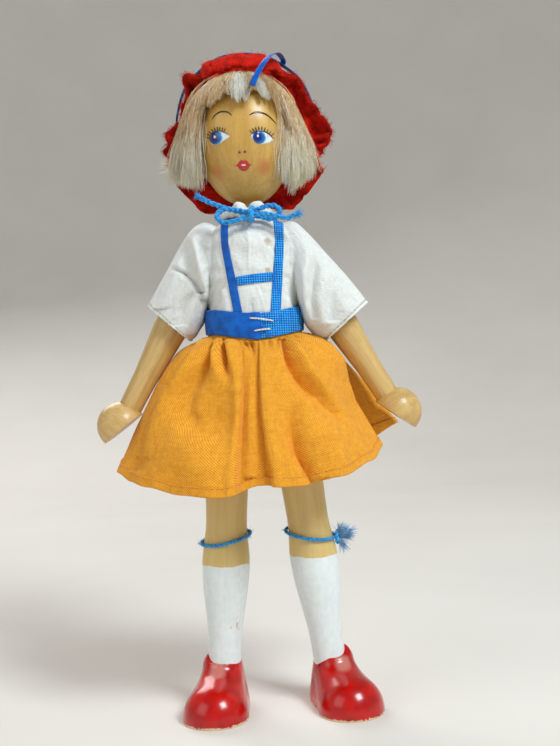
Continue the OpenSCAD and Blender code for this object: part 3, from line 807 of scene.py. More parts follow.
# Each eye: iris middle, white outline, lid line and the spread of its lashes, all from the iris middle
EYES = {
    "left": {
        "iris": (-7.7, 17.2),
        "white": [(-1.75, 0.1), (-1.3, 1.15), (0.1, 1.75), (1.5, 1.45), (2.8, 0.75), (3.95, -0.1),
                  (2.7, -0.95), (1.2, -1.6), (-0.2, -1.8), (-1.4, -1.2)],
        "lid": [(-1.9, -0.3), (-1.5, 1.0), (-0.4, 1.75), (1.0, 1.75), (2.5, 1.05), (4.1, -0.15)],
        "lashes": [(-1.9, 0.4, 148), (-1.6, 1.0, 136), (-1.2, 1.45, 124), (-0.6, 1.75, 112),
                   (0.0, 1.9, 100), (0.6, 1.9, 90), (1.2, 1.75, 80), (1.8, 1.5, 68), (2.3, 1.2, 58)],
    },
    "right": {
        "iris": (4.15, 16.4),
        "white": [(-2.3, 0.35), (-1.2, 1.2), (0.1, 1.7), (1.6, 1.55), (2.9, 0.9), (4.1, -0.35),
                  (3.2, -1.15), (1.8, -1.65), (0.2, -1.85), (-1.4, -1.1)],
        "lid": [(-2.5, 0.3), (-1.4, 1.25), (0.0, 1.75), (1.5, 1.65), (2.9, 0.95), (4.2, -0.4)],
        "lashes": [(-1.7, 1.1, 128), (-1.1, 1.45, 116), (-0.5, 1.7, 105), (0.2, 1.85, 95), (0.9, 1.85, 85),
                   (1.6, 1.7, 75), (2.2, 1.4, 64), (2.8, 1.05, 54), (3.3, 0.6, 44)],
    },
}
IRIS_R = 1.8
LASH_LENGTH = 1.15
LINE_W, LASH_W, BROW_W, MOUTH_W = 0.26, 0.24, 0.46, 0.34
BROWS = [[(-8.6, 22.5), (-7.6, 23.7), (-5.9, 24.3), (-4.1, 23.9), (-2.8, 22.7)],
         [(1.85, 22.5), (3.1, 23.2), (4.8, 23.4), (7.0, 22.6), (9.2, 20.5)]]
MOUTH = (-0.5, 9.2)
LIPS = [(-1.75, 0.1), (-1.1, 1.0), (-0.45, 1.4), (0.0, 1.15), (0.5, 1.4), (1.15, 0.95), (1.75, 0.05),
        (1.2, -0.95), (0.1, -1.45), (-1.1, -0.95)]
# Place on the face, radius and strength of each cheek
CHEEKS = [((5.2, 9.0), 3.4, 0.62), ((-7.8, 8.4), 3.6, 0.5)]


def around_iris(eye, points):
    x, h = eye["iris"]
    return [(x + dx, h + dh) for dx, dh in points]


def make_face():
    """Painted features, one thin layer of paint over the next."""
    white, iris, rim, deep, glint, dark = [], [], [], [], [], []
    for eye in EYES.values():
        x, h = eye["iris"]
        white.append(patch(smooth_outline(around_iris(eye, eye["white"])), 0.05))
        rim.append(patch(ellipse(x + 0.12, h, IRIS_R, IRIS_R * 0.98), 0.08))
        iris.append(patch(ellipse(x - 0.05, h, IRIS_R * 0.9, IRIS_R * 0.93), 0.11))
        deep.append(patch(ellipse(x - 0.3, h + 0.05, IRIS_R * 0.62, IRIS_R * 0.72), 0.14))
        glint.append(patch(ellipse(x - 0.25, h + 0.35, 0.3, 0.38, n=14), 0.17, 2))
        dark.append(stroke_patch(around_iris(eye, eye["lid"]), LINE_W, 0.20))
        for dx, dh, angle in eye["lashes"]:
            a = math.radians(angle)
            tip = (dx + LASH_LENGTH * math.cos(a), dh + LASH_LENGTH * math.sin(a))
            dark.append(stroke_patch(around_iris(eye, [(dx, dh), tip]), LASH_W, 0.20))
    dark += [stroke_patch(brow, BROW_W, 0.08) for brow in BROWS]
    red = [patch(smooth_outline([(MOUTH[0] + x, MOUTH[1] + h) for x, h in LIPS]), 0.07)]
    red.append(stroke_patch([(-2.9, 9.35), (-1.8, 9.15), (-0.5, 9.2), (0.9, 9.15), (2.0, 9.4)], MOUTH_W,
                            0.10))
    shine = [patch(ellipse(MOUTH[0] + 0.05, MOUTH[1] + 0.05, 0.62, 0.26, tilt=-4, n=18), 0.13, 3)]
    nostrils = [patch(ellipse(x, 12.65, 0.38, 0.36, n=16), 0.06, 2) for x in (-1.3, 0.15)]
    paint_layer("eye_whites", white, flat_paint("eye_white_paint", WHITE_PAINT))
    paint_layer("iris_rims", rim, flat_paint("pale_cyan_paint", rgb(86, 176, 216)))
    paint_layer("irises", iris, flat_paint("mid_blue_paint", rgb(20, 96, 178)))
    paint_layer("pupils", deep, flat_paint("deep_blue_paint", rgb(8, 34, 120)))
    paint_layer("eye_glints", glint, flat_paint("glint_paint", rgb(244, 248, 252)))
    paint_layer("lashes_and_brows", dark, flat_paint("black_line_paint", BLACK_PAINT))
    paint_layer("lips", red, flat_paint("lip_red_paint", RED_PAINT))
    paint_layer("lip_shine", shine, flat_paint("lip_shine_paint", rgb(248, 206, 190)))
    paint_layer("nostrils", nostrils, flat_paint("nostril_red_paint", rgb(140, 34, 16)))


# ------------------------------------------------------------------ hair

HAIR_X = -0.9
# Height, half width and half depth of the bob
HAIR_SHELL = np.array([
    (144.0, 18.2, 12.6), (149, 20.2, 14.2), (153, 20.9, 14.8), (160, 20.2, 15.4), (167, 18.0, 15.6),
    (171, 16.4, 15.2), (174, 15.4, 14.4), (177, 13.4, 12.8), (179.5, 10.4, 10.2), (181.3, 6.8, 6.8),
    (182.6, 2.0, 2.5)
])
# Height of the cut ends, by the angle from the front towards +X
HAIR_CUT = np.array([(-180, 152.5), (-110, 152.5), (-90, 152.5), (-71, 149.8), (-62, 148.9), (-54, 148.9),
                     (-50, 150.2), (-46, 160.0), (-42, 168.5), (-20, 171.6), (0, 172.0), (20, 172.4),
                     (36, 171.4), (47, 169.8), (52, 163.0), (57, 147.2), (61, 145.8), (68, 146.6),
                     (74, 148.6), (80, 150.8), (90, 152.2), (180, 152.5)])
# The fringe's tufts: angle and height of the tip, half spread at the roots in degrees, and hairs
FRINGE_TUFTS = [(-50, 163.4, 5, 60), (-46, 166.4, 5, 60), (-40, 170.2, 6, 60), (-34, 168.8, 5, 60),
                (-28, 169.4, 6, 90), (-22, 170.6, 6, 90), (-15, 172.0, 5, 60), (-8, 170.4, 6, 110),
                (-3, 169.3, 5, 130), (2, 170.6, 5, 120), (8, 169.5, 5, 110), (14, 172.4, 6, 60),
                (19, 173.0, 5, 60), (26, 170.6, 6, 110), (33, 170.2, 5, 90), (40, 168.8, 6, 70),
                (46, 166.6, 5, 60), (53, 163.0, 5, 60)]
# The tufts between these angles are bleached white
PALE_TUFTS = ((-10, 9), (25, 34))
# Where the hair under the hat starts, and how far back hairs may lie before the crown covers them
HAIR_TOP, HAIR_BACK_Y = 181.7, 6.6


def hair_place(angle, z, depth):
    """A place in the bob: angle in degrees from the front towards +X, depth 0 at the scalp to 1 outside."""
    inner = np.maximum(egg_radius(z, 0.4), np.where(z < HEAD_MID, 12.8, 0))
    rx = inner + (look_up(HAIR_SHELL, z, 1) - inner) * depth
    ry = inner + (look_up(HAIR_SHELL, z, 2) - inner) * depth
    a = np.radians(angle)
    return np.stack([HAIR_X * depth + rx * np.sin(a), -ry * np.cos(a), z], axis=-1)


def hair_end(angle):
    return look_up(HAIR_CUT, angle, 1)


def inward_lean(angle, z):
    """How far, in degrees, the locks on the right lean over the cheek as they fall."""
    return -15.0 * bell(angle, 60, 15) * ease((166 - z) / 12)


def hair_run(rng, start, end, top, tip, level, stations, wild):
    """Hairs from start to end angles and top to tip heights, at a level in the bob, waving a little."""
    n = len(start)
    s = np.linspace(0, 1, stations)[None, :]
    path = start[:, None] + (end - start)[:, None] * s ** 1.3
    wave = rng.uniform(0, 1, n)[:, None] + s * rng.uniform(0.5, 1.8, n)[:, None]
    path = path + wild * rng.uniform(0.2, 1.6, n)[:, None] * np.sin(2 * np.pi * wave) * s
    z = top[:, None] + (tip - top)[:, None] * s ** 0.9
    path = path + inward_lean(path, z)
    layer = level[:, None] * (0.5 + 0.5 * s ** 0.5)
    frizz = 1 + rng.uniform(0, 0.07, n)[:, None] * s ** 2
    return hair_place(path, z, layer * frizz)


def lock_paths(rng, low, high, count, each, stations, pinch, cut_spread):
    """Locks of hair that start spread out and close to a ragged point."""
    angle = np.linspace(low, high, count) + rng.normal(0, 0.35 * (high - low) / count, count)
    lean = rng.normal(0, 2.2, count)
    cut = rng.normal(0, cut_spread, count)
    level = rng.uniform(0.45, 1.02, count)
    pick = np.repeat(np.arange(count), each)
    n = len(pick)
    across = rng.normal(0, 1.0, n)
    width = 1.1 * (high - low) / count + 0.6
    start = np.clip(angle[pick] + across * width, low - 2.5, high + 2.5)
    end = angle[pick] + lean[pick] + across * width * pinch + rng.normal(0, 0.8, n)
    tip = hair_end(np.clip(end, -178, 178)) + cut[pick] + 0.9 * np.abs(across)
    tip = tip + rng.exponential(1.2, n) - 1.0
    top = HAIR_TOP - 0.1 - rng.uniform(0, 2.0, n)
    depth = np.clip(level[pick] + 0.12 * rng.normal(0, 1, n) - 0.08 * across ** 2, 0.12, 1.1)
    return hair_run(rng, start, end, top, tip, depth, stations, 1.0)


def tuft_paths(rng, stations, pale):
    """The short pointed tufts of the fringe, either the pale ones or the others."""
    paths = []
    for angle, height, spread, count in FRINGE_TUFTS:
        if any(low <= angle <= high for low, high in PALE_TUFTS) != pale:
            continue
        across = rng.normal(0, 0.6, count)
        start = angle + across * spread * 1.5
        end = angle + rng.normal(0, 1.2) + across * spread * 0.32
        tip = height + rng.exponential(0.9, count) + 0.7 * np.abs(across)
        top = HAIR_TOP + 0.1 - rng.uniform(0, 2.4, count)
        level = np.clip(rng.uniform(0.5, 0.95) + 0.14 * rng.normal(0, 1, count), 0.15, 1.1)
        paths.append(hair_run(rng, start, end, top, tip, level, stations, 1.6))
    return np.concatenate(paths)


def make_hair():
    rng = np.random.default_rng(11)
    stations = 12
    taper = np.linspace(1, 0.35, stations)[None, :]
    # low and high angle, locks, hairs in each, stations, how far a lock closes, how uneven its cut is
    sides = {
        "bob_left": lock_paths(rng, -150, -51, 36, 100, stations, 0.5, 1.0),
        "bob_right": lock_paths(rng, 59, 150, 36, 105, stations, 0.5, 1.0),
        "fringe": tuft_paths(rng, stations, False),
        "pale_tufts": tuft_paths(rng, stations, True),
    }
    for name, paths in sides.items():
        paths = paths[paths[:, :, 1].max(axis=1) < HAIR_BACK_Y]
        width = rng.uniform(0.045, 0.085, len(paths))[:, None] * taper
        hair = tubes("hair_" + name, paths, width, mohair_pale if name == "pale_tufts" else mohair)
        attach(hair, "head")
        if name == "bob_left":
            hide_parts("hair")
    make_hair_base()
    make_stray_hairs(rng)


def make_hair_base():
    """The matted hair under the combed locks, as one closed shell on the head, coloured darker as painted
    shade between the locks.
    """
    angles = np.linspace(-140, 140, 141)
    rows = []
    for share in np.linspace(0, 1, 34):
        cut = hair_end(angles * 0.84) + 1.6 + 0.5 * sine(angles * 29) + 0.4 * sine(angles * 53)
        z = HAIR_TOP + (cut - HAIR_TOP) * share
        ripple = 0.05 * np.sin(np.radians(angles * 17) + share * 3) + 0.04 * sine(angles * 41)
        rows.append(hair_place(angles + inward_lean(angles, z), z, 0.40 + ripple))
    base = cloth("hair_under", rows, mohair_under_painted_shade, 0.9)
    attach(base, "head")
    # the back of the bob under the crown, in the same darker colour as painted shade
    back = lathe_y("hair_back", [(0.0, 19.6), (6, 18.4), (11, 15), (14.4, 10.5), (15.6, 6.0)], 163.0,
                   mohair_under_painted_shade)
    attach(back, "head")
    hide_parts("back_hair")


def lathe_y(name, profile, middle_z, material, middle_x=0.0, turns=72, shape=None):
    """A surface of revolution about a level axis along Y, from (radius, y) pairs."""
    rows = []
    for r, y in profile:
        ring = []
        for a in np.linspace(0, 2 * np.pi, turns, endpoint=False):
            k = shape(a, r, y) if shape else (r, y)
            ring.append((middle_x + k[0] * math.cos(a), k[1], middle_z + k[0] * math.sin(a)))
        rows.append(ring)
    return grid(name, rows, material, around=True, caps=True)


def make_stray_hairs(rng):
    """Fly-away hairs round the bob, a few across the face, and a thin tuft that sticks out on the left."""
    n, stations = 170, 10
    s = np.linspace(0, 1, stations)[None, :]
    side = np.where(rng.uniform(size=n) < 0.5, -1.0, 1.0)
    angle = side * rng.uniform(35, 120, n)
    z0 = rng.uniform(160, 182, n)
    z1 = rng.uniform(151, 159, n)
    z = z0[:, None] + (z1 - z0)[:, None] * s
    flare = 1.0 + rng.uniform(0.0, 0.30, n)[:, None] * s ** 2
    loose = hair_place(angle[:, None] + rng.normal(0, 9, n)[:, None] * s, z, flare)
    face = []
    for k in range(150):
        # wisps that hang over both edges of the face, thicker on the right cheek
        right = k % 5 > 0
        x0 = rng.uniform(9.5, 14.0) if right else rng.uniform(-13.5, -10.0)
        x1 = rng.triangular(7.4, 12.4, 12.8) if right else rng.uniform(-14.0, -11.0)
        z_high, z_low = rng.uniform(164, 171), rng.uniform(147, 158)
        z = z_high + (z_low - z_high) * s[0]
        x = x0 + (x1 - x0) * s[0] + rng.normal(0, 0.6) * np.sin(3 * s[0])
        y = -np.sqrt(np.maximum(4.0, np.maximum(egg_radius(z), 12.9) ** 2 - x ** 2)) - rng.uniform(0.3, 1.4)
        face.append(np.stack([x, y, z], axis=1))
    tuft_n = 60
    out = rng.uniform(2.6, 5.4, tuft_n)[:, None] * s
    tuft = np.stack([
        -19.4 - out,
        rng.normal(-3.0, 1.2, tuft_n)[:, None] + 0 * s,
        155.4 + rng.normal(0, 0.9, tuft_n)[:, None] + rng.normal(0.1, 0.25, tuft_n)[:, None] * out,
    ], axis=-1)
    paths = np.concatenate([loose, np.array(face), tuft])
    width = 0.038 * np.linspace(1, 0.5, stations)[None, :]
    hairs = tubes("hair_strays", paths, width, mohair)
    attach(hairs, "head")


# ------------------------------------------------------------------ hat

BRIM_MIDDLE = (0.3, 165.0)
CROWN_MIDDLE = (0.3, 167.2)
CROWN_FRONT_Y = 7.4
BAND_R = 20.9
# The ruffled outline seen from the front: angle from +X and radius from the brim's middle
BRIM_OUTLINE = np.array([
    (0, 24.4), (7, 24.2), (14, 22.6), (24, 21.7), (36, 21.9), (49, 22.9), (60, 23.4), (72, 23.2),
    (84, 23.4), (93, 23.2), (104, 22.6), (111, 21.6), (119, 21.8), (124, 23.0), (128, 25.9), (131, 26.6),
    (134, 25.4), (138, 22.2), (145, 21.0), (154, 20.5), (163, 19.6), (168, 20.4), (175, 23.4), (179, 22.8),
    (183, 23.0), (187, 24.6), (192, 23.6), (200, 24.2), (216, 25.0), (226, 25.6), (238, 25.4), (248, 23.6),
    (262, 22.0), (272, 21.6), (284, 22.4), (298, 24.6), (306, 25.6), (316, 25.7), (325, 25.7), (332, 25.2),
    (337, 22.4), (343, 22.0), (350, 22.4), (353, 24.4), (356, 24.7)
])


def crown_stretch(angle):
    """The crown is taller than wide: how much longer its radius is, by angle from +X in radians."""
    return 1 + 0.15 * max(0.0, math.sin(angle)) ** 1.5


def brim_rows():
    """The brim from its root at the crown to its free edge, which folds forward over the fringe."""
    turns, steps = 480, 26
    a = np.linspace(0, 360, turns, endpoint=False)
    c, s = np.cos(np.radians(a)), sine(a)
    edge = np.interp(a, BRIM_OUTLINE[:, 0], BRIM_OUTLINE[:, 1], period=360)
    over_top = ease((a - 46) / 24) * ease((134 - a) / 16)
    pleat = np.sin(np.radians(19 * a + 30) + 1.3 * sine(5 * a))
    pleat = pleat + 0.5 * np.sin(np.radians(41 * a) + 1.1 * sine(7 * a + 50))
    slow = sine(6 * a + 100)
    root_r = 17.6 + 3.4 * over_top
    rows = []
    for t in np.linspace(0, 1, steps):
        # away from the top the brim flares outward; at the top it rolls forward and down
        flare_r = root_r + (edge - root_r) * t
        flare_y = CROWN_FRONT_Y + 1.2 * math.sin(t * 3.0) - 2.2 * t ** 2
        roll = t * math.radians(118)
        roll_r = root_r + 4.0 * math.sin(roll) - 7.6 * t ** 1.6
        roll_y = CROWN_FRONT_Y - 2.0 - 11.5 * t ** 0.85
        r = flare_r + (roll_r - flare_r) * over_top
        y = flare_y + (roll_y - flare_y) * over_top
        r = r + (0.35 * pleat + 0.3 * slow) * t ** 0.7 * (1 + 0.6 * over_top)
        y = y + (0.55 * pleat + 0.7 * slow) * t ** 0.8
        rows.append(np.stack([BRIM_MIDDLE[0] + r * c, y, BRIM_MIDDLE[1] + r * s], axis=1))
    return above_the_tie(np.array(rows), BRIM_FLOOR)


# The hat's lowest felt and fibre, and the reach and slope at which it rises over the tie
BRIM_FLOOR, FUZZ_FLOOR = 143.7, 143.4
TIE_REACH, TIE_SLOPE = 14.6, 1.25


def above_the_tie(points, floor):
    """Points lifted where the hat would brush the collar or the tie as the head turns."""
    reach = np.hypot(points[..., 0], points[..., 1])
    lifted = points.copy()
    lifted[..., 2] = np.maximum(points[..., 2], floor + TIE_SLOPE * np.maximum(0, reach - TIE_REACH))
    return lifted


def make_hat():
    rng = np.random.default_rng(5)
    rows = brim_rows()
    lumps = rng.normal(0, 0.09, rows.shape[:2] + (1,))
    brim = cloth("hat_brim_felt", rows + lumps, red_felt, 1.3, around=True)
    with_modifiers(brim, ("SMOOTH", {"factor": 0.5, "iterations": 2}))
    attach(brim, "head")
    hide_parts("hat_brim")

    profile = [(18.2, CROWN_FRONT_Y - 0.6), (19.6, 9.4), (20.1, 12), (19.6, 15), (17.8, 18), (14.6, 20.6),
               (10.4, 22.2), (6, 23.0), (2, 23.3), (0.3, 23.3)]

    def dent(angle, radius, y):
        share = (radius / 20) ** 2
        wave = 0.30 * math.sin(9 * angle + 0.7 * math.sin(4 * angle)) + 0.25 * math.sin(17 * angle + 1)
        slow = 0.3 * math.sin(3 * angle + 0.6)
        long = radius * crown_stretch(angle)
        return long + (wave + slow) * share * 0.8, y + (wave * 1.6 + slow) * (1 - share) * share * 2.4

    crown = lathe_y("hat_crown_felt", profile, CROWN_MIDDLE[1], red_felt, CROWN_MIDDLE[0], turns=144,
                    shape=dent)
    with_modifiers(crown, ("SUBSURF", {"levels": 2, "render_levels": 2}))
    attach(crown, "head")
    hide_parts("hat_crown")
    make_hat_fuzz(rng, rows)
    make_hat_band()


def make_hat_fuzz(rng, rows):
    """Loose wool fibres standing off the brim's edge and both its faces."""
    n, stations = 5200, 4
    steps, turns = rows.shape[:2]
    row = np.where(rng.uniform(size=n) < 0.45, steps - 1, rng.integers(6, steps, n))
    col = rng.integers(0, turns, n)
    at = rows[row, col]
    centre = np.array([BRIM_MIDDLE[0], 0, BRIM_MIDDLE[1]])
    outward = unit((at - centre) * np.array([1, 0.2, 1]))
    root = at + rng.normal(0, 0.2, (n, 3)) + np.array([0, -0.4, 0]) * (rng.uniform(size=(n, 1)) < 0.7)
    direction = outward * rng.uniform(0.1, 1.0, n)[:, None] + np.array([0, -0.35, 0])
    direction = unit(direction + rng.normal(0, 0.6, (n, 3)))
    bend = unit(rng.normal(0, 1, (n, 3)))
    k = np.linspace(0, 1, stations)[None, :, None]
    length = rng.uniform(0.4, 1.3, n)[:, None, None]
    paths = root[:, None] + direction[:, None] * k * length + bend[:, None] * k ** 2 * length * 0.5
    paths = above_the_tie(paths, FUZZ_FLOOR)
    fuzz = tubes("hat_fuzz", paths, 0.04, red_felt)
    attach(fuzz, "head")


def ribbon(name, places, outward, width, thickness, material):
    """A flat ribbon along places in millimetres, each with the direction its face looks in."""
    p = np.array(places, float)
    out = unit(np.array(outward, float))
    along = unit(np.gradient(p, axis=0))
    side = unit(np.cross(along, out))
    width = np.broadcast_to(np.asarray(width, float), (len(p),))[:, None]
    rows = [p + side * width * k for k in np.linspace(-0.5, 0.5, 6)]
    rows = [row + out * 0.02 * math.sin(math.pi * k) for row, k in zip(rows, np.linspace(0, 1, 6))]
    return cloth(name, rows, material, thickness, levels=1)


def make_hat_band():
    rows = []
    for y in np.linspace(CROWN_FRONT_Y + 1.4, CROWN_FRONT_Y + 4.4, 6):
        ring = []
        bow = ((y - CROWN_FRONT_Y - 2.9) / 1.5) ** 2
        for a in np.linspace(0, 2 * np.pi, 160, endpoint=False):
            ripple = 0.25 * math.sin(3 * a + 0.6) + 0.1 * math.sin(11 * a)
            r = BAND_R * crown_stretch(a) + ripple - 0.2 * bow
            ring.append((CROWN_MIDDLE[0] + r * math.cos(a), y, CROWN_MIDDLE[1] + r * math.sin(a)))
        rows.append(ring)
    band = cloth("hat_ribbon_band", rows, rough_ribbon, 0.25, around=True)
    tail_points = [(3.1, -16.6, 173.4), (4.1, -16.4, 175.6), (5.7, -14.6, 178.8), (7.6, -11.6, 182.2),
                   (9.4, -7.2, 184.8), (10.8, -2, 186.5), (11.9, 4, 187.2), (12.4, 8.6, 187.6),
                   (12.0, 10.4, 186.8)]
    facing = [(-0.2, -1, 0.2), (-0.3, -1, 0.25), (-0.35, -1, 0.3), (-0.4, -0.9, 0.4), (-0.3, -0.8, 0.7),
              (-0.1, -0.6, 1), (0.1, -0.1, 1), (0.3, 0.7, 0.8), (0.3, 1, 0.4)]
    places = spline(tail_points, 5)
    tail = ribbon("hat_ribbon_tail", places, spline(facing, 5), np.linspace(1.9, 1.7, len(places)), 0.18,
                  smooth_ribbon)
    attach(band, "head")
    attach(tail, "head")
    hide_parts("hat_band")


# ------------------------------------------------------------------ blouse

def trunk_radius(z):
    """Radius of the blouse on the trunk at a height."""
    over = np.clip((np.asarray(z, float) - TRUNK_ROUND_Z) / TRUNK_ROUND, 0, 1)
    return TRUNK_R - TRUNK_ROUND + TRUNK_ROUND * np.sqrt(np.maximum(0, 1 - over ** 2))


# Valleys in the blouse seen from the front, as (height, x, half width, depth); a negative depth is a ridge
BODY_FOLDS = [
    [(122.5, -8.4, 0.8, 0.0), (121, -9.1, 0.7, 0.5), (118, -11.0, 0.8, 0.8), (114, -12.6, 0.9, 0.8)],
    [(123.5, -6.6, 0.7, 0.0), (121, -7.6, 0.6, 0.4), (118, -9.4, 0.7, 0.6), (113, -11.0, 0.8, 0.6)],
    [(124, 9.2, 0.8, 0.0), (121, 10.1, 0.8, 0.8), (117, 11.3, 0.9, 1.0), (112, 12.4, 0.9, 0.9)],
    [(134.5, 3.0, 0.8, 0.0), (132.5, 4.6, 0.7, 0.7), (129.5, 6.6, 0.6, 0.7), (128, 7.4, 0.6, 0.0)],
    [(137, -0.3, 0.35, -0.16), (130, -0.1, 0.3, -0.2), (124, -0.5, 0.3, -0.2), (120, 1.4, 0.3, -0.2),
     (112, 3.4, 0.3, -0.2)],
    [(118, 0.0, 0.8, 0.0), (114, -0.4, 0.8, 0.35), (110, -0.6, 0.8, 0.4)],
    [(133, -3.4, 1.6, 0.0), (129, -3.6, 1.6, 0.3), (125, -3.2, 1.4, 0.0)],
]
SLEEVE_FOLDS = {
    LEFT: [
        [(137, -16.6, 1.2, 0.0), (134, -15.6, 1.3, -0.9), (130, -14.7, 1.2, -1.4), (124, -13.6, 1.1, -1.7),
         (117, -12.9, 1.0, -1.5)],
        [(135.5, -14.1, 0.8, 0.0), (131, -13.0, 0.7, 0.5), (123, -12.0, 0.7, 0.8), (117, -11.4, 0.7, 0.8)],
        [(127, -23.0, 1.0, 0.0), (125.4, -20.6, 0.9, 0.6), (124.0, -18.0, 0.9, 1.0),
         (121.5, -15.6, 0.9, 1.1), (118.5, -14.2, 0.8, 0.9)],
        [(119.5, -16.0, 1.1, 0.0), (117.5, -17.6, 1.1, 0.8), (114.5, -19.6, 1.2, 0.9),
         (110, -21.4, 1.4, 0.5)],
        [(131, -19.0, 1.8, 0.0), (127, -21.2, 2.2, -0.7), (121, -24.0, 2.4, -0.8), (115, -26.4, 2.4, -0.4)],
        [(134, -17.6, 1.2, 0.0), (131, -18.2, 1.2, 0.5), (127, -18.2, 1.2, 0.6), (123, -17.4, 1.2, 0.0)],
    ],
    RIGHT: [
        [(133, 14.6, 1.2, 0.0), (128, 16.2, 1.4, -0.8), (122, 14.6, 1.3, -1.5), (115, 14.1, 1.3, -1.4),
         (108, 15.4, 1.3, -0.6)],
        [(129, 19.0, 1.2, 0.0), (125, 18.0, 1.1, 0.8), (120, 16.7, 1.1, 1.1), (115, 16.2, 1.1, 0.8),
         (110, 17.2, 1.1, 0.2)],
        [(124, 25.0, 1.4, 0.0), (120, 23.6, 1.4, 0.6), (115, 21.8, 1.4, 0.8), (109, 21.4, 1.5, 0.5)],
        [(130, 12.4, 0.8, 0.2), (124, 12.2, 0.8, 0.9), (118, 12.0, 0.8, 1.2), (113, 12.6, 0.8, 1.0)],
        [(127, 21.4, 2.0, 0.0), (121, 20.2, 2.0, -0.8), (114, 18.8, 2.0, -0.9), (108, 19.2, 2.0, -0.4)],
    ],
}


def make_blouse():
    angles = np.linspace(-180, 180, 361)[:-1]
    low = BELT_LOW[2] + 1.0
    heights = np.concatenate([np.linspace(low, TRUNK_ROUND_Z, 60),
                              TRUNK_ROUND_Z + TRUNK_ROUND * sine(np.linspace(5, 78, 16))])
    turn, z = np.meshgrid(angles, heights)
    r = trunk_radius(z)
    a = np.radians(turn)
    x = r * np.sin(a)
    front = ease((100 - np.abs(turn)) / 14) * ease((TRUNK_ROUND_Z + 6 - z) / 6)
    push = 1.3 * sum(fold_push(x, z, stations) for stations in BODY_FOLDS) * front
    # the cloth sags over the belt and gathers into it, and hangs loose at the back
    back = ease((np.abs(turn) - 110) / 25)
    push += 0.35 * bell(z, 116, 4) * (1 - bell(turn, 0, 20))
    push += 0.16 * np.sin(np.radians(turn * 21) + sine(turn * 5)) * ease((118 - z) / 8)
    push += back * 0.35 * np.sin(np.radians(turn * 9) + 0.15 * (z - 120)) * ease((134 - z) / 10)
    # it stays thin under the braces and the strap between them
    rise = np.clip((z - BELT_HIGH[2]) / (TRUNK_ROUND_Z - BELT_HIGH[2]), 0, 1)
    left_brace = np.abs(x + 3.9 + 2.9 * rise)
    right_brace = np.abs(x - 6.2 - 2.2 * rise)
    under = ease((2.9 - left_brace) / 1.2) + ease((3.3 - right_brace) / 1.2)
    cross_low, cross_high = box_mm("cross_strap")
    level = (cross_low[2] + cross_high[2]) / 2
    under += ease((2.9 - np.abs(z - level)) / 1.2) * ease((8.0 - np.abs(x - 1.0)) / 1.5)
    ruck = np.sin(0.9 * x + 0.75 * z + 1.5 * np.sin(0.31 * z)) * np.sin(0.37 * z - 0.6 * x)
    push += 0.22 * (1 + ruck) * ease((98 - np.abs(turn)) / 14)
    push = np.minimum(push, 0.9)
    push = push + (np.minimum(push, 0.06) - push) * np.minimum(1, under)
    r = r - 0.05 + np.maximum(push * 0.95, -0.28)
    rows = np.stack([r * np.sin(a), -r * np.cos(a), z], axis=-1)
    body = cloth("blouse_front_and_back", rows, white_cotton, 0.3, around=True)
    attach(body, "torso")
    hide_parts("blouse_body")
    for side in (LEFT, RIGHT):
        make_sleeve(side)
    make_collar()


# Top and bottom of each ring of a sleeve from the trunk to the hem, as (distance from the middle, height),
# and the ring's half depth
SLEEVE_RINGS = {
    LEFT: [((8.9, 138.2), (11.6, 117.6), 7.0), ((12.6, 139.6), (13.0, 115.8), 8.4),
           ((16.4, 137.6), (13.9, 113.0), 9.1), ((20.0, 132.6), (14.6, 110.6), 9.0),
           ((23.8, 126.2), (15.8, 108.6), 8.5), ((27.2, 120.6), (17.0, 106.9), 8.0),
           ((29.9, 116.4), (18.6, 105.9), 7.6)],
    RIGHT: [((8.9, 137.6), (11.8, 115.4), 7.0), ((12.8, 137.8), (13.0, 113.6), 8.4),
            ((16.8, 134.0), (13.7, 111.0), 9.0), ((21.0, 128.8), (14.6, 108.6), 8.9),
            ((25.4, 123.6), (16.4, 106.4), 8.5), ((29.4, 118.6), (18.2, 105.0), 8.1),
            ((32.6, 114.3), (20.4, 104.2), 7.8)],
}


# The lining's radius round the arm's top, and how far it keeps outside the arm's flat inner face
LINING_R, LINING_INSIDE = 5.65, 10.2


def make_sleeve(side):
    keys = SLEEVE_RINGS[side]
    flat = spline([(t[0], t[1], b[0]) for t, b, d in keys], 11)
    more = spline([(b[1], d, 0) for t, b, d in keys], 11)
    around = np.linspace(0, 2 * np.pi, 193)[:-1]
    rows = []
    last = len(flat) - 1
    for k, (f, m) in enumerate(zip(flat, more)):
        t = k / last
        top, bottom, depth = np.array([f[0], f[1]]), np.array([f[2], m[0]]), m[1]
        middle, half = (top + bottom) / 2, (top - bottom) / 2
        c, s = np.cos(around), np.sin(around)
        loose = 1 + 0.035 * np.sin(around * 3 + side + 3 * t) + 0.02 * np.sin(around * 7 + 5 * t) * t
        x = side * (middle[0] + half[0] * c * loose)
        z = middle[1] + half[1] * c * loose
        y = depth * np.sign(s) * np.abs(s) ** 0.8 * loose
        rows.append(np.stack([x, y, z], axis=1))
    rows = np.array(rows)
    x, y, z = rows[..., 0], rows[..., 1], rows[..., 2]
    push = 1.7 * sum(fold_push(x, z, stations) for stations in SLEEVE_FOLDS[side])
    behind = 0.5 * np.sin(0.9 * np.abs(x) + 0.55 * z) * ease((y - 2) / 3)
    rows[..., 1] = y - push * ease((-y - 1.5) / 4.5) + behind
    name = SIDE_NAME[side]
    sleeve = cloth(name + "_sleeve_cotton", rows, white_cotton, 0.3, around=True)
    hem = make_sleeve_hem(name, rows)
    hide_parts(name + "_sleeve")
    for piece in (sleeve, hem):
        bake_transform(piece)
    make_sleeve_lining(side, name)


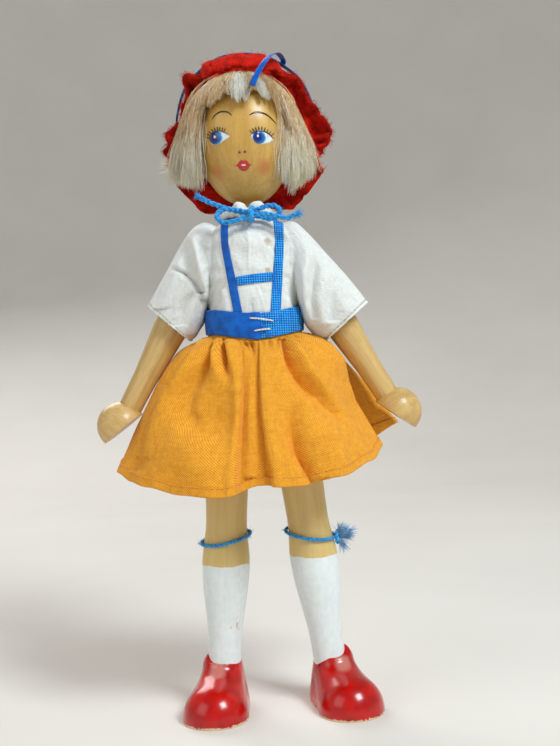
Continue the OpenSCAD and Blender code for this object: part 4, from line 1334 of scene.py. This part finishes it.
def make_sleeve_lining(side, name):
    """Cotton drawn round the top of the arm, which shows only while the arm is raised."""
    splay = math.radians(ARM_SPLAY)
    down = np.array([side * math.sin(splay), 0, -math.cos(splay)])
    out = np.array([side * math.cos(splay), 0, math.sin(splay)])
    pivot = np.array([side * abs(SHOULDER[0]), 0, SHOULDER[2]])
    t = np.linspace(0, 2 * np.pi, 49)[:-1, None]
    rows = []
    for d in np.concatenate([-LINING_R * np.cos(np.radians(np.linspace(4, 90, 14))),
                             np.linspace(0.8, 17, 20)]):
        r = math.sqrt(LINING_R ** 2 - d ** 2) if d < 0 else LINING_R - 0.012 * d
        r += 0.12 * math.sin(2.3 * d) * ease((d - 1) / 3)
        ring = pivot + down * d + r * (np.cos(t) * out + np.sin(t) * np.array([0, -1, 0]))
        ring[:, 0] = side * np.maximum(side * ring[:, 0], LINING_INSIDE)
        rows.append(ring)
    lining = cloth(name + "_sleeve_lining", np.array(rows), white_cotton, 0.15, around=True)
    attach(lining, name + "_arm")


def dashes_along(line, count):
    """The paths of count running stitches round a closed line."""
    line = evenly(np.concatenate([line, line[:1]]), count * 4 + 1)
    return np.array([line[4 * i:4 * i + 4] for i in range(count)])


def make_sleeve_hem(name, rows):
    """A folded hem at the sleeve's end with its row of stitches."""
    rows = np.array(rows)
    rng = np.random.default_rng(31)
    ring_a, ring_b = rows[-1], rows[-5]
    outward = unit(rows[-1] - rows[-1].mean(axis=0))
    path = evenly(np.concatenate([ring_a, ring_a[:1]]), 160)[:-1]
    path = path + rng.normal(0, 0.05, path.shape)
    welt = tubes(name + "_sleeve_hem", [path], 0.3, white_cotton, sides=8, closed=True)
    line = ring_a + (ring_b - ring_a) * 0.55 + outward * 0.36
    stitches = tubes(name + "_hem_stitches", dashes_along(line, 40), 0.12, hem_thread, sides=6)
    return join(name + "_sleeve_hem", [welt, stitches])


def make_collar():
    """A gathered frill: a soft ring with many small puffs and two large ones at the front."""
    ring_r, ring_z = 6.9, 141.0
    rows = []
    for t in np.linspace(-180, 180, 181)[:-1]:
        a = math.radians(t)
        puff = math.sqrt(max(0.0, 1 - ((abs(t) - 20) / 17) ** 2)) * (0.75 + 0.25 * bell(abs(t), 20, 12))
        small = 0.16 * math.sin(math.radians(t * 15)) + 0.1 * math.sin(math.radians(t * 37))
        r = 1.15 + 0.95 * puff + small * (1 - 0.6 * puff)
        centre_r = ring_r + 0.6 * puff
        centre_z = ring_z + 0.8 * puff
        ring = []
        for b in np.linspace(0, 2 * np.pi, 24, endpoint=False):
            crease = 1 + 0.06 * math.sin(3 * b + t * 0.35) + 0.04 * math.sin(5 * b - t * 0.2)
            d = centre_r + r * crease * math.cos(b)
            ring.append((d * math.sin(a), -d * math.cos(a), centre_z + r * crease * math.sin(b)))
        rows.append(ring)
    collar = grid("collar_frill", rows, frill_cotton, around=True, along=True)
    with_modifiers(collar, ("SUBSURF", {"levels": 1, "render_levels": 1}))
    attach(collar, "torso")
    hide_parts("collar")


# ------------------------------------------------------------------ yarn

YARN_D = 1.3
GARTER_DROP, GARTER_R = 35.8, 7.0
# Route of the bow: left tail, left loop, across the knot, right loop, right tail
TIE_ROUTE = [
    (-13.4, -12.7, 144.9), (-10.6, -12.1, 143.3), (-6.8, -11.3, 141.8), (-3, -10.8, 140.6),
    (0.6, -10.8, 139.7), (3.6, -11, 138.6), (6.4, -11.4, 137.8), (8.4, -11.9, 138.5), (8.7, -12.3, 140.3),
    (7, -12.5, 141.4), (4.2, -12.5, 141), (0.8, -12.5, 139.9), (-2.6, -12.5, 140.5), (-5.8, -12.6, 141),
    (-7.9, -13, 140.2), (-8.3, -13.6, 138.4), (-6.4, -14, 137.1), (-3.2, -14.2, 137.5), (0.6, -14.2, 138.6),
    (4.4, -14.1, 139), (8.2, -13.9, 138.1), (11, -13.4, 137.6), (13.4, -12.8, 138.6)
]


def plied(name, path, diameter, pitch, material, closed=False):
    """Two plies twisted round each other along a path."""
    p = np.asarray(path, float)
    if closed:
        along = unit(np.roll(p, -1, axis=0) - np.roll(p, 1, axis=0))
    else:
        along = unit(np.gradient(p, axis=0))
    u = unit(np.cross(along, [0.2, 0.9, 0.37]))
    v = np.cross(along, u)
    step = np.linalg.norm(np.diff(p, axis=0), axis=1)
    run = np.concatenate([[0], np.cumsum(step)])
    if closed:
        whole = run[-1] + np.linalg.norm(p[0] - p[-1])
        pitch = whole / round(whole / pitch)
    plies = []
    for phase in (0.0, math.pi):
        a = (2 * np.pi * run / pitch + phase)[:, None]
        plies.append(p + diameter * 0.23 * (np.cos(a) * u + np.sin(a) * v))
    return tubes(name, plies, diameter * 0.29, material, sides=8, closed=closed)


def yarn_fuzz(name, path, diameter, per_mm, rng, material, length=(0.5, 1.3), rise=1.0):
    """Loose wool fibres along a path, pressed flat where rise is small."""
    p = np.asarray(path, float)
    n = int(path_length(p) * per_mm)
    pick = rng.uniform(0, len(p) - 1, n)
    i = pick.astype(int)
    f = (pick - i)[:, None]
    at = p[i] * (1 - f) + p[np.minimum(i + 1, len(p) - 1)] * f
    press = np.array([1, 1, rise])
    direction = unit(rng.normal(0, 1, (n, 3))) * press
    root = at + direction * diameter * 0.3
    bend = unit(rng.normal(0, 1, (n, 3))) * press
    k = np.linspace(0, 1, 4)[None, :, None]
    reach = rng.uniform(*length, n)[:, None, None]
    paths = root[:, None] + direction[:, None] * k * reach * 0.6 + bend[:, None] * k ** 1.5 * reach * 0.7
    return tubes(name, paths, 0.035, material)


def frayed_end(name, at, direction, rng, material, count=46, length=3.2, spread=0.55):
    """The brush of fibres where a cut yarn has come untwisted."""
    d = unit(np.array(direction, float))
    k = np.linspace(0, 1, 6)[None, :, None]
    fan = d + rng.normal(0, spread, (count, 3)) * 0.5
    reach = length * rng.uniform(0.55, 1.1, count)[:, None, None]
    start = np.array(at, float) + rng.normal(0, 0.28, (count, 3))
    paths = start[:, None] + (d * (1 - k) + unit(fan)[:, None] * k) * k * reach
    return tubes(name, paths, 0.07 * np.linspace(1, 0.5, 6)[None, :], material)


def make_neck_tie():
    rng = np.random.default_rng(3)
    path = evenly(spline(TIE_ROUTE, 8), 260)
    tie = plied("neck_tie_yarn", path, YARN_D * 1.12, 3.2, blue_wool)
    turn = np.linspace(0, 2 * np.pi, 60, endpoint=False)
    wrap = np.stack([1.0 + 0.25 * np.sin(turn), -12.6 + 2.75 * np.cos(turn), 139.3 + 1.5 * np.sin(turn)],
                    axis=1)
    knot = plied("neck_tie_wrap", wrap, YARN_D * 1.4, 2.6, blue_wool, closed=True)
    fuzz = [yarn_fuzz("neck_tie_fuzz", path, YARN_D * 1.2, 48, rng, blue_wool, length=(0.4, 1.1), rise=0.3)]
    fuzz.append(frayed_end("tie_end_a", path[5], path[0] - path[10], rng, blue_wool, 70, 2.2, 0.6))
    fuzz.append(frayed_end("tie_end_b", path[-6], path[-1] - path[-11], rng, blue_wool, 70, 3.0, 0.75))
    loose = join("neck_tie_fuzz", fuzz)
    for piece in (tie, knot, loose):
        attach(piece, "torso")
    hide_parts("neck_tie")


def make_garter(side):
    name = SIDE_NAME[side]
    rng = np.random.default_rng(20 + side)
    splay = math.radians(LEG_SPLAY[side])
    centre = np.array([side * (HIP[0] + GARTER_DROP * math.sin(splay)), 0,
                       HIP[2] - GARTER_DROP * math.cos(splay)])
    turn = np.linspace(0, 2 * np.pi, 150, endpoint=False)
    sag = -1.3 * (1 - np.sin(turn)) / 2
    slope = -side * 0.16
    ring = np.stack([centre[0] + GARTER_R * np.cos(turn), GARTER_R * np.sin(turn),
                     centre[2] + 1.0 + sag + slope * GARTER_R * np.cos(turn)], axis=1)
    band = plied(name + "_garter_yarn", ring, 1.0, 2.3, blue_wool, closed=True)
    parts = [yarn_fuzz(name + "_garter_fuzz", np.concatenate([ring, ring[:1]]), 1.0, 7, rng, blue_wool)]
    if side == RIGHT:
        at = ring[0] + np.array([0.9, -0.6, -0.2])
        turn = np.linspace(0, 2 * np.pi, 40, endpoint=False)
        bow = np.stack([at[0] + 0.4 * np.cos(turn), at[1] + 1.5 * np.cos(turn), at[2] + 1.6 * np.sin(turn)],
                       axis=1)
        parts.append(plied("garter_knot", bow, 1.2, 2.2, blue_wool, closed=True))
        for direction, length in (((0.35, -0.3, 1.0), 4.4), ((1, -0.3, 0.35), 5.6), ((1, -0.3, 0.0), 4.6),
                                  ((0.55, -0.4, -0.9), 4.8), ((0.9, 0.1, 0.75), 4.4)):
            parts.append(frayed_end("garter_end", at, direction, rng, garter_wool, count=90, length=length,
                                    spread=0.42))
    else:
        at = ring[75] + np.array([0.2, -0.4, 0.0])
        parts.append(frayed_end("garter_end", at, (-1, -0.3, 0.1), rng, blue_wool, count=24, length=1.4,
                                spread=0.7))
    loose = join(name + "_garter_loose_wool", parts)
    for piece in (band, loose):
        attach(piece, name + "_leg")
    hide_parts(name + "_garter")


# ------------------------------------------------------------------ braces, belt and stitches

RIBBON_LIFT = 0.28


def strap_route(low_x, high_x):
    """Up the front from the belt, over the shoulder and down the back, with outward directions."""
    low_z = BELT_HIGH[2] - 2.5
    wall_r = TRUNK_R + RIBBON_LIFT
    arc_r = TRUNK_ROUND + RIBBON_LIFT
    inner = TRUNK_R - TRUNK_ROUND
    places, outward = [], []
    for t in np.linspace(0, 1, 16)[:-1]:
        x = low_x + (high_x - low_x) * t
        y = -math.sqrt(wall_r ** 2 - x ** 2)
        places.append((x, y, low_z + (TRUNK_ROUND_Z - low_z) * t))
        outward.append((x / wall_r, y / wall_r, 0))
    front = list(zip(places, outward))
    over = []
    reach = math.sqrt(wall_r ** 2 - high_x ** 2)
    for t in np.linspace(0, 1, 36):
        y = -math.cos(math.pi * t) * reach
        r = math.hypot(high_x, y)
        a = math.acos(min(1.0, max(0.0, r - inner) / arc_r))
        over.append(((high_x, y, TRUNK_ROUND_Z + arc_r * math.sin(a)),
                     (high_x / r * math.cos(a), y / r * math.cos(a), math.sin(a))))
    back = [((x, -y, z), (nx, -ny, nz)) for (x, y, z), (nx, ny, nz) in reversed(front)]
    whole = front + over + back
    return [w[0] for w in whole], [w[1] for w in whole]


def make_straps():
    for name, low_x, high_x, width, material in (
            ("left", -3.9, -6.8, 2.5, smooth_ribbon), ("right", 6.2, 8.4, 3.2, rough_ribbon)):
        places, outward = strap_route(low_x, high_x)
        wobble = width * (1 + 0.03 * np.sin(np.linspace(0, 21, len(places))))
        strap = ribbon(name + "_brace", places, outward, wobble, 0.22, material)
        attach(strap, "torso")
        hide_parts(name + "_strap")
    low, high = box_mm("cross_strap")
    x = np.linspace(low[0] - 0.7, high[0] + 0.8, 24)
    r = TRUNK_R + RIBBON_LIFT + 0.1
    places = np.stack([x, -np.sqrt(r ** 2 - x ** 2), (low[2] + high[2]) / 2 + 0.09 * (x - 1)], axis=1)
    outward = np.stack([x / r, places[:, 1] / r, 0 * x], axis=1)
    bar = ribbon("cross_brace", places, outward, 2.6, 0.2, rough_ribbon)
    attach(bar, "torso")
    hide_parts("cross_strap")


def belt_drop(angle):
    """How far the belt dips at an angle from the front, in degrees."""
    return -2.2 * bell(angle, 6, 46)


def make_belt():
    height = BELT_HIGH[2] - BELT_LOW[2] + 0.3
    angles = np.linspace(3, 368, 150)
    rows = []
    for t in np.linspace(0, 1, 9):
        turn = np.where(angles > 180, angles - 360, angles)
        over = ease((angles - 352) / 10)
        r = BELT_HIGH[0] + 0.1 + 0.45 * over - 0.12 * (2 * t - 1) ** 2
        z = BELT_LOW[2] + 0.2 + belt_drop(turn) + height * t + 0.5 * over * (t - 0.5)
        a = np.radians(angles + 0.9 * (t - 0.5) * over)
        rows.append(np.stack([r * np.sin(a), -r * np.cos(a), z], axis=1))
    split = 60
    rows = np.array(rows)
    left = cloth("belt_left_half", rows[:, split:], smooth_ribbon, 0.3, levels=1)
    right = cloth("belt_right_half", rows[:, :split + 1], rough_ribbon, 0.3, levels=1)
    for part in (left, right):
        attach(part, "torso")
    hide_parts("belt")
    r = BELT_HIGH[0] + 0.75

    def on_belt(x, z, lift=0.0):
        return (x, -math.sqrt((r + lift) ** 2 - x ** 2), z)

    base = BELT_LOW[2]
    threads = [[on_belt(-0.7, base + 3.7, -0.9), on_belt(-0.5, base + 3.7), on_belt(2.2, base + 3.35, 0.15),
                on_belt(5.0, base + 2.8), on_belt(5.2, base + 2.75, -0.9)],
               [on_belt(0.3, base + 0.15, -0.9), on_belt(0.5, base + 0.2), on_belt(2.4, base + 0.45, 0.12),
                on_belt(4.2, base + 0.5), on_belt(4.4, base + 0.5, -0.9)]]
    paths = [evenly(spline(t, 8), 26) for t in threads]
    joined = [plied("belt_thread", p, 0.5, 1.6, white_thread) for p in paths]
    stitches = join("belt_thread_stitches", joined)
    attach(stitches, "torso")
    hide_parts("belt_stitches")


# ------------------------------------------------------------------ skirt

SKIRT_TOP = 106.6
SKIRT_WAIST_R = 13.4
SKIRT_HALF_W = 38.6
SKIRT_HALF_D = 25.6
HEM_ANGLES = (0, 16, 32, 55, 88, 112, 135, 180, 225, 255, 270, 282, 296, 310, 328, 345)
HEM_HEIGHTS = (65.6, 65.2, 67.0, 69.8, 73.5, 78.6, 71.0, 69.5, 69.8, 70.6, 70.6, 69.4, 67.4, 66.2, 64.2,
               63.4)

# Valleys in the front of the skirt, from the belt down, as (height, x, half width, depth).
# A negative depth is a ridge.
SKIRT_FOLDS = [
    # the two long folds that sweep out to the left side
    [(107, -14.6, 0.7, 0.9), (103, -17.2, 0.9, 1.7), (98, -20.8, 1.2, 2.0), (91, -26.2, 1.6, 1.3),
     (84, -30.2, 2.2, 0.9), (76, -33.0, 2.4, 1.0), (70, -34.0, 2.6, 0.4)],
    [(107, -13.1, 0.7, -0.7), (103, -15.6, 0.9, -1.3), (97, -19.6, 1.4, -1.5), (91, -24.2, 1.9, -1.3),
     (83, -28.4, 2.4, -0.9), (74, -31.5, 2.4, -0.4)],
    [(107, -11.2, 0.7, 1.1), (103, -12.2, 0.9, 1.9), (99, -13.7, 1.2, 2.1), (95, -16.3, 1.7, 1.9),
     (91, -19.3, 2.2, 1.5), (86, -20.6, 2.4, 1.4), (81, -18.2, 2.6, 0.8), (78, -12.5, 2.4, 0.0)],
    # deep short gather with a puff beside it
    [(107, -10.1, 0.7, -0.9), (103, -10.6, 1.0, -1.5), (98, -10.4, 1.4, -0.8), (94, -10.4, 1.6, 0.0)],
    [(107, -8.9, 0.5, 1.3), (104, -8.7, 0.7, 2.4), (100, -8.4, 0.9, 1.8), (96, -7.6, 1.2, 0.7),
     (92, -7.0, 1.4, 0.0)],
    [(107, -6.8, 0.9, -0.8), (102, -6.4, 1.1, -1.0), (96, -6.2, 1.4, -0.5), (90, -6.4, 1.4, 0.0)],
    # small gathers inside the middle recess
    [(107, -2.6, 0.5, 0.7), (104.5, -2.2, 0.5, 1.1), (101, -1.2, 0.7, 0.0)],
    [(107, -1.2, 0.4, 0.5), (104.5, -0.8, 0.5, 0.8), (101, -0.2, 0.6, 0.0)],
    [(100, -1.0, 1.0, -0.2), (90, -1.5, 1.1, -0.7), (80, -2.2, 1.4, -0.9), (68, -3.0, 1.8, -0.6)],
    # short gathers and the long diagonal fold on the right
    [(107, 4.2, 0.5, 0.8), (104.5, 4.2, 0.6, 0.9), (101, 4.0, 0.9, 0.0)],
    [(107, 7.4, 0.5, 0.9), (104.6, 7.0, 0.6, 1.3), (101, 6.4, 0.9, 0.0)],
    [(107, 9.2, 0.6, 1.5), (103.5, 9.2, 0.8, 2.7), (100, 9.6, 1.0, 2.6), (96, 10.8, 1.3, 2.2),
     (92, 13.2, 1.8, 2.0), (87.5, 17.0, 2.2, 1.7), (83, 21.2, 2.4, 0.9), (80, 23.5, 2.4, 0.0)],
    [(105, 10.8, 0.8, -0.6), (100, 12.2, 1.4, -1.4), (95, 14.6, 2.0, -1.4), (90, 18.6, 2.4, -0.9),
     (84, 22.8, 2.4, -0.2)],
    [(107, 11.6, 0.5, 0.8), (104.5, 12.0, 0.7, 1.0), (102, 12.8, 0.8, 0.0)],
    # the low fold that turns in towards the hem on the right
    [(90, 11.2, 1.2, 0.0), (84, 9.2, 1.5, 0.9), (78, 9.4, 1.5, 1.6), (73, 10.6, 1.3, 1.9),
     (69, 12.6, 1.1, 1.7), (65, 14.2, 1.1, 1.0)],
    [(84, 13.6, 3.2, -0.6), (78, 17.0, 4.2, -1.8), (73, 18.6, 4.2, -1.5), (67, 19.0, 4.0, -0.6)],
    # the broad left panel, swelling below its dimple
    [(95, -12.0, 3.0, 0.0), (90, -12.0, 4.0, 0.9), (84, -12.5, 4.6, 1.5), (80, -12.6, 4.6, 0.9),
     (77, -13.0, 4.6, 0.0)],
    [(82, -20.0, 4.0, 0.0), (77, -17.5, 6.0, -1.3), (72, -15.5, 6.5, -1.8), (66, -14.5, 6.5, -1.3),
     (62, -14.5, 6.0, -1.0)],
]
# The middle recess: height, its left edge, its right edge and its depth
SKIRT_RECESS = np.array([(107, -4.9, 1.5, 0.7), (103, -4.0, 1.5, 1.1), (98, -3.7, 1.3, 1.5),
                         (87, -4.3, 1.3, 2.0),
                         (77, -5.3, 2.0, 2.6), (71, -5.9, 3.0, 3.0), (63, -6.4, 3.7, 3.3)])[::-1]
# How far the front panel's right edge stands outside the plain bell, by height
PANEL_EDGE = np.array([(107, 0.2), (103, 2.0), (98.5, 1.6), (92, -2.4), (86, -4.6), (79, -4.4), (72, -4.0),
                       (66, -3.6)])[::-1]


def fold_push(x, z, stations):
    """Outward push of one fold over the front of the skirt."""
    st = np.array(stations)[::-1]
    inside = (z > st[0, 0] - 0.01) & (z < st[-1, 0] + 4)
    zz = np.clip(z, st[0, 0], st[-1, 0])
    middle = look_up(st, zz, 1)
    width = look_up(st, zz, 2)
    depth = look_up(st, zz, 3)
    return -depth * bell(x, middle, width * 1.25) * inside


def skirt_grid(angle, share):
    """Places on the skirt: angle from the front towards +X, share from 0 at the belt to 1 at the hem."""
    a = np.radians(angle)
    turn = np.where(angle > 180, angle - 360, angle)
    side = np.abs(turn)
    hem = ring_curve(HEM_ANGLES, HEM_HEIGHTS, angle)
    z = SKIRT_TOP + (hem - SKIRT_TOP) * share
    flare = share ** 0.62
    rx = SKIRT_WAIST_R + (SKIRT_HALF_W - SKIRT_WAIST_R) * flare
    ry = SKIRT_WAIST_R + (SKIRT_HALF_D - SKIRT_WAIST_R) * flare
    front = ease((104 - side) / 14)
    x = rx * np.sin(a)
    push = np.zeros_like(x)
    for stations in SKIRT_FOLDS:
        push = push + 1.75 * fold_push(x, z, stations) * front * ease(share / 0.022)
    left_edge = look_up(SKIRT_RECESS, z, 1)
    right_edge = look_up(SKIRT_RECESS, z, 2)
    depth = look_up(SKIRT_RECESS, z, 3)
    open_front = (side < 40)
    recess = ease((x - left_edge + 0.7) / 1.0) * ease((right_edge + 0.1 - x) / 0.35)
    push -= 1.2 * depth * recess * open_front * ease(share / 0.04)
    push += 0.9 * bell(x, left_edge - 1.3, 1.2) * share ** 0.4 * open_front
    push += 0.9 * bell(x, right_edge + 1.4, 1.3) * share ** 0.4 * open_front
    # the left side stands fuller, the right panel ends early, and a ridge stands out behind it
    push += 2.3 * bell(turn, -92, 42) * ease(share / 0.12)
    push += look_up(PANEL_EDGE, z, 1) * bell(turn, 74, 24) * ease(share / 0.05)
    push -= 7.5 * share ** 0.8 * bell(turn, 97, 8)
    push += 6.3 * share ** 0.9 * bell(turn, 115, 11)
    # loose folds over the back, with gathers under the belt all the way round
    back = ease((side - 112) / 22)
    push += back * share ** 0.8 * (1.7 * sine(turn * 9 + 25) + 0.9 * sine(turn * 5 + 80))
    push += 1.0 * share * sine(turn * 7) * bell(turn, -112, 22)
    gather = np.sin(np.radians(turn * 23) + 1.5 * sine(turn * 6) + 0.8 * sine(turn * 11))
    push += (0.6 + 0.5 * back) * gather * np.exp(-share * 7) * ease(share / 0.015)
    fine = np.sin(np.radians(turn * 61) + 2 * sine(turn * 9)) * np.exp(-share * 22)
    push += 0.3 * fine * ease(share / 0.01)
    # the hem waves a little
    calm = 1 - bell(turn, 78, 26)
    push += 0.35 * calm * ease((share - 0.7) / 0.3) * np.sin(np.radians(turn * 13) + 1.2 * sine(turn * 4))
    dip = belt_drop(turn) * np.exp(-share * 5)
    return np.stack([(rx + push) * np.sin(a), -(ry + push) * np.cos(a), z + dip], axis=-1)


def make_skirt():
    angles = np.linspace(0, 360, 901)[:-1]
    shares = np.concatenate([np.linspace(0, 0.12, 13)[:-1], np.linspace(0.12, 1, 80)])
    a, t = np.meshgrid(angles, shares)
    rows = skirt_grid(a, t)
    tuck = rows[:1] * np.array([0.985, 0.985, 1]) + np.array([0, 0, 2.2])
    skirt = cloth("skirt_cotton", np.concatenate([tuck, rows]), orange_cotton, 0.35, around=True)
    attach(skirt, "torso")
    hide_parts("skirt")
    a, t = np.meshgrid(angles, np.linspace(0.94, 1.0, 7))
    fold = skirt_grid(a, t)
    band = cloth("skirt_hem_fold", fold + outward_from_skirt(fold) * 0.3, orange_cotton, 0.3, around=True)
    line = skirt_grid(angles, np.full_like(angles, 0.945))
    line = line + outward_from_skirt(line[None])[0] * 0.46
    stitches = tubes("skirt_hem_stitches", dashes_along(line, 170), 0.1, orange_thread, sides=6)
    for piece in (band, stitches):
        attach(piece, "torso")


def outward_from_skirt(rows):
    """Level outward directions from the cloth's own slope round the skirt."""
    along = np.roll(rows, -1, axis=1) - np.roll(rows, 1, axis=1)
    return unit(np.stack([along[..., 1], -along[..., 0], 0 * along[..., 0]], axis=-1))


# ------------------------------------------------------------------ shoes

def ball(middle, radius):
    """A sphere's rows, for a grid."""
    rings = 24
    rows = []
    for a in np.radians(np.linspace(-89, 89, rings)):
        t = np.linspace(0, 2 * np.pi, 2 * rings, endpoint=False)
        rows.append(np.stack([middle[0] + radius * math.cos(a) * np.cos(t),
                              middle[1] + radius * math.cos(a) * np.sin(t),
                              np.full_like(t, middle[2] + radius * math.sin(a))], axis=1))
    return rows


# Balls that a clog grows from, in its own frame with the toe towards -Y: y, height, radius
CLOG_BALLS = spline([(-9.8, 0.8, 9.3), (-8.2, 1.6, 8.9), (-5.6, 3.2, 8.1), (-3.0, 5.4, 7.2),
                     (-0.8, 8.0, 6.5)], 5)
HEEL_BALLS = spline([(-3.6, 1.0, 8.1), (0.4, 1.2, 7.4), (2.2, 1.6, 6.8), (1.8, 5.0, 6.5), (1.1, 8.4, 6.2),
                     (0.5, 11.4, 5.9)], 5)
CLOG_FRONT_Z, CLOG_BACK_Z = 13.6, 15.8
CLOG_VOXEL = 0.45
# The rubbed place on the instep: how far from the ankle, how high, and its half sizes
WORN_REACH, WORN_HIGH, WORN_SIZE = 6.6, 13.4, (3.3, 3.6, 4.0)


def make_shoe(side):
    name = SIDE_NAME[side]
    splay = math.radians(LEG_SPLAY[side])
    ankle_x = side * (HIP[0] + HIP[2] * math.tan(splay))
    turn = math.radians(side * TOE_OUT[side])
    shoe_paint = enamel_for(turn, ankle_x)
    blobs = [grid("blob", ball((0, y, z), r), shoe_paint, around=True, caps=True)
             for y, z, r in np.concatenate([CLOG_BALLS, HEEL_BALLS])]
    shoe = join(name + "_clog", blobs)
    with_modifiers(shoe, ("REMESH", {"mode": "VOXEL", "voxel_size": CLOG_VOXEL * MM}),
                   ("SMOOTH", {"factor": 0.5, "iterations": 14}))
    mesh = shoe.data
    co = np.empty(len(mesh.vertices) * 3)
    mesh.vertices.foreach_get("co", co)
    co = co.reshape(-1, 3) / MM
    back = ease((co[:, 1] + 4.6) / 4.5)
    rim = CLOG_FRONT_Z + (CLOG_BACK_Z - CLOG_FRONT_Z) * back
    over = co[:, 2] > rim
    co[over, 2] = rim[over] + 0.12 * (co[over, 2] - rim[over])
    co[:, 2] = np.maximum(co[:, 2], 0)
    # the instep pinches in beside the ankle
    waist = bell(co[:, 1], -1.0, 3.0) * bell(co[:, 2], 7.5, 4.5)
    co[:, 0] *= 1 - 0.03 * waist
    spin = np.array([[math.cos(turn), -math.sin(turn), 0], [math.sin(turn), math.cos(turn), 0], [0, 0, 1]])
    co = co @ spin.T + np.array([ankle_x, 0, 0])
    mesh.vertices.foreach_set("co", (co * MM).ravel())
    mesh.update()
    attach(shoe, name + "_leg")
    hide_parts(name + "_shoe")


def enamel_for(turn, ankle_x):
    """The worn enamel, rubbed on the instep of a clog turned out by turn."""
    worn = (WORN_REACH * math.sin(turn) + ankle_x, -WORN_REACH * math.cos(turn), WORN_HIGH)
    return enamel(worn, WORN_SIZE)


# ------------------------------------------------------------------ finish on the CAD nodes that show

def dress_cad_nodes():
    arms = {side: wood(f"arm_wood_{side}", turn=(0, side * ARM_SPLAY, 0)) for side in (LEFT, RIGHT)}
    hands = {side: wood(f"hand_wood_{side}", turn=(0, side * -HAND_GRAIN, 0)) for side in (LEFT, RIGHT)}
    plain = wood("trunk_wood")
    legs = {
        LEFT: leg_wood("leg_wood_left", (0, LEFT * LEG_SPLAY[LEFT], 0), SOCK_TOP[LEFT], SOCK_SMEAR),
        RIGHT: leg_wood("leg_wood_right", (0, RIGHT * LEG_SPLAY[RIGHT], 0), SOCK_TOP[RIGHT]),
    }
    finishes = {
        "torso": plain, "neck_dowel": plain,
        "left_arm": arms[LEFT], "left_hand": hands[LEFT],
        "right_arm": arms[RIGHT], "right_hand": hands[RIGHT],
        "left_leg": legs[LEFT], "right_leg": legs[RIGHT],
    }
    for node, paint in finishes.items():
        give(node, paint.material)
    for node in ("left_shoulder_nail", "right_shoulder_nail", "hip_axle"):
        give(node, wire)


def give(node, material):
    obj = frame["nodes"][node]
    if obj.material_slots:
        for slot in obj.material_slots:
            slot.material = material
    else:
        obj.data.materials.append(material)


# ------------------------------------------------------------------ everything

make_camera()
make_neck_tie()
for light_settings in LIGHTS:
    make_light(*light_settings)
make_world()
make_stage()
make_head()
make_face()
make_hair()
make_hat()
make_blouse()
make_straps()
make_belt()
make_skirt()
for leg_side in (LEFT, RIGHT):
    make_garter(leg_side)
    make_shoe(leg_side)
dress_cad_nodes()
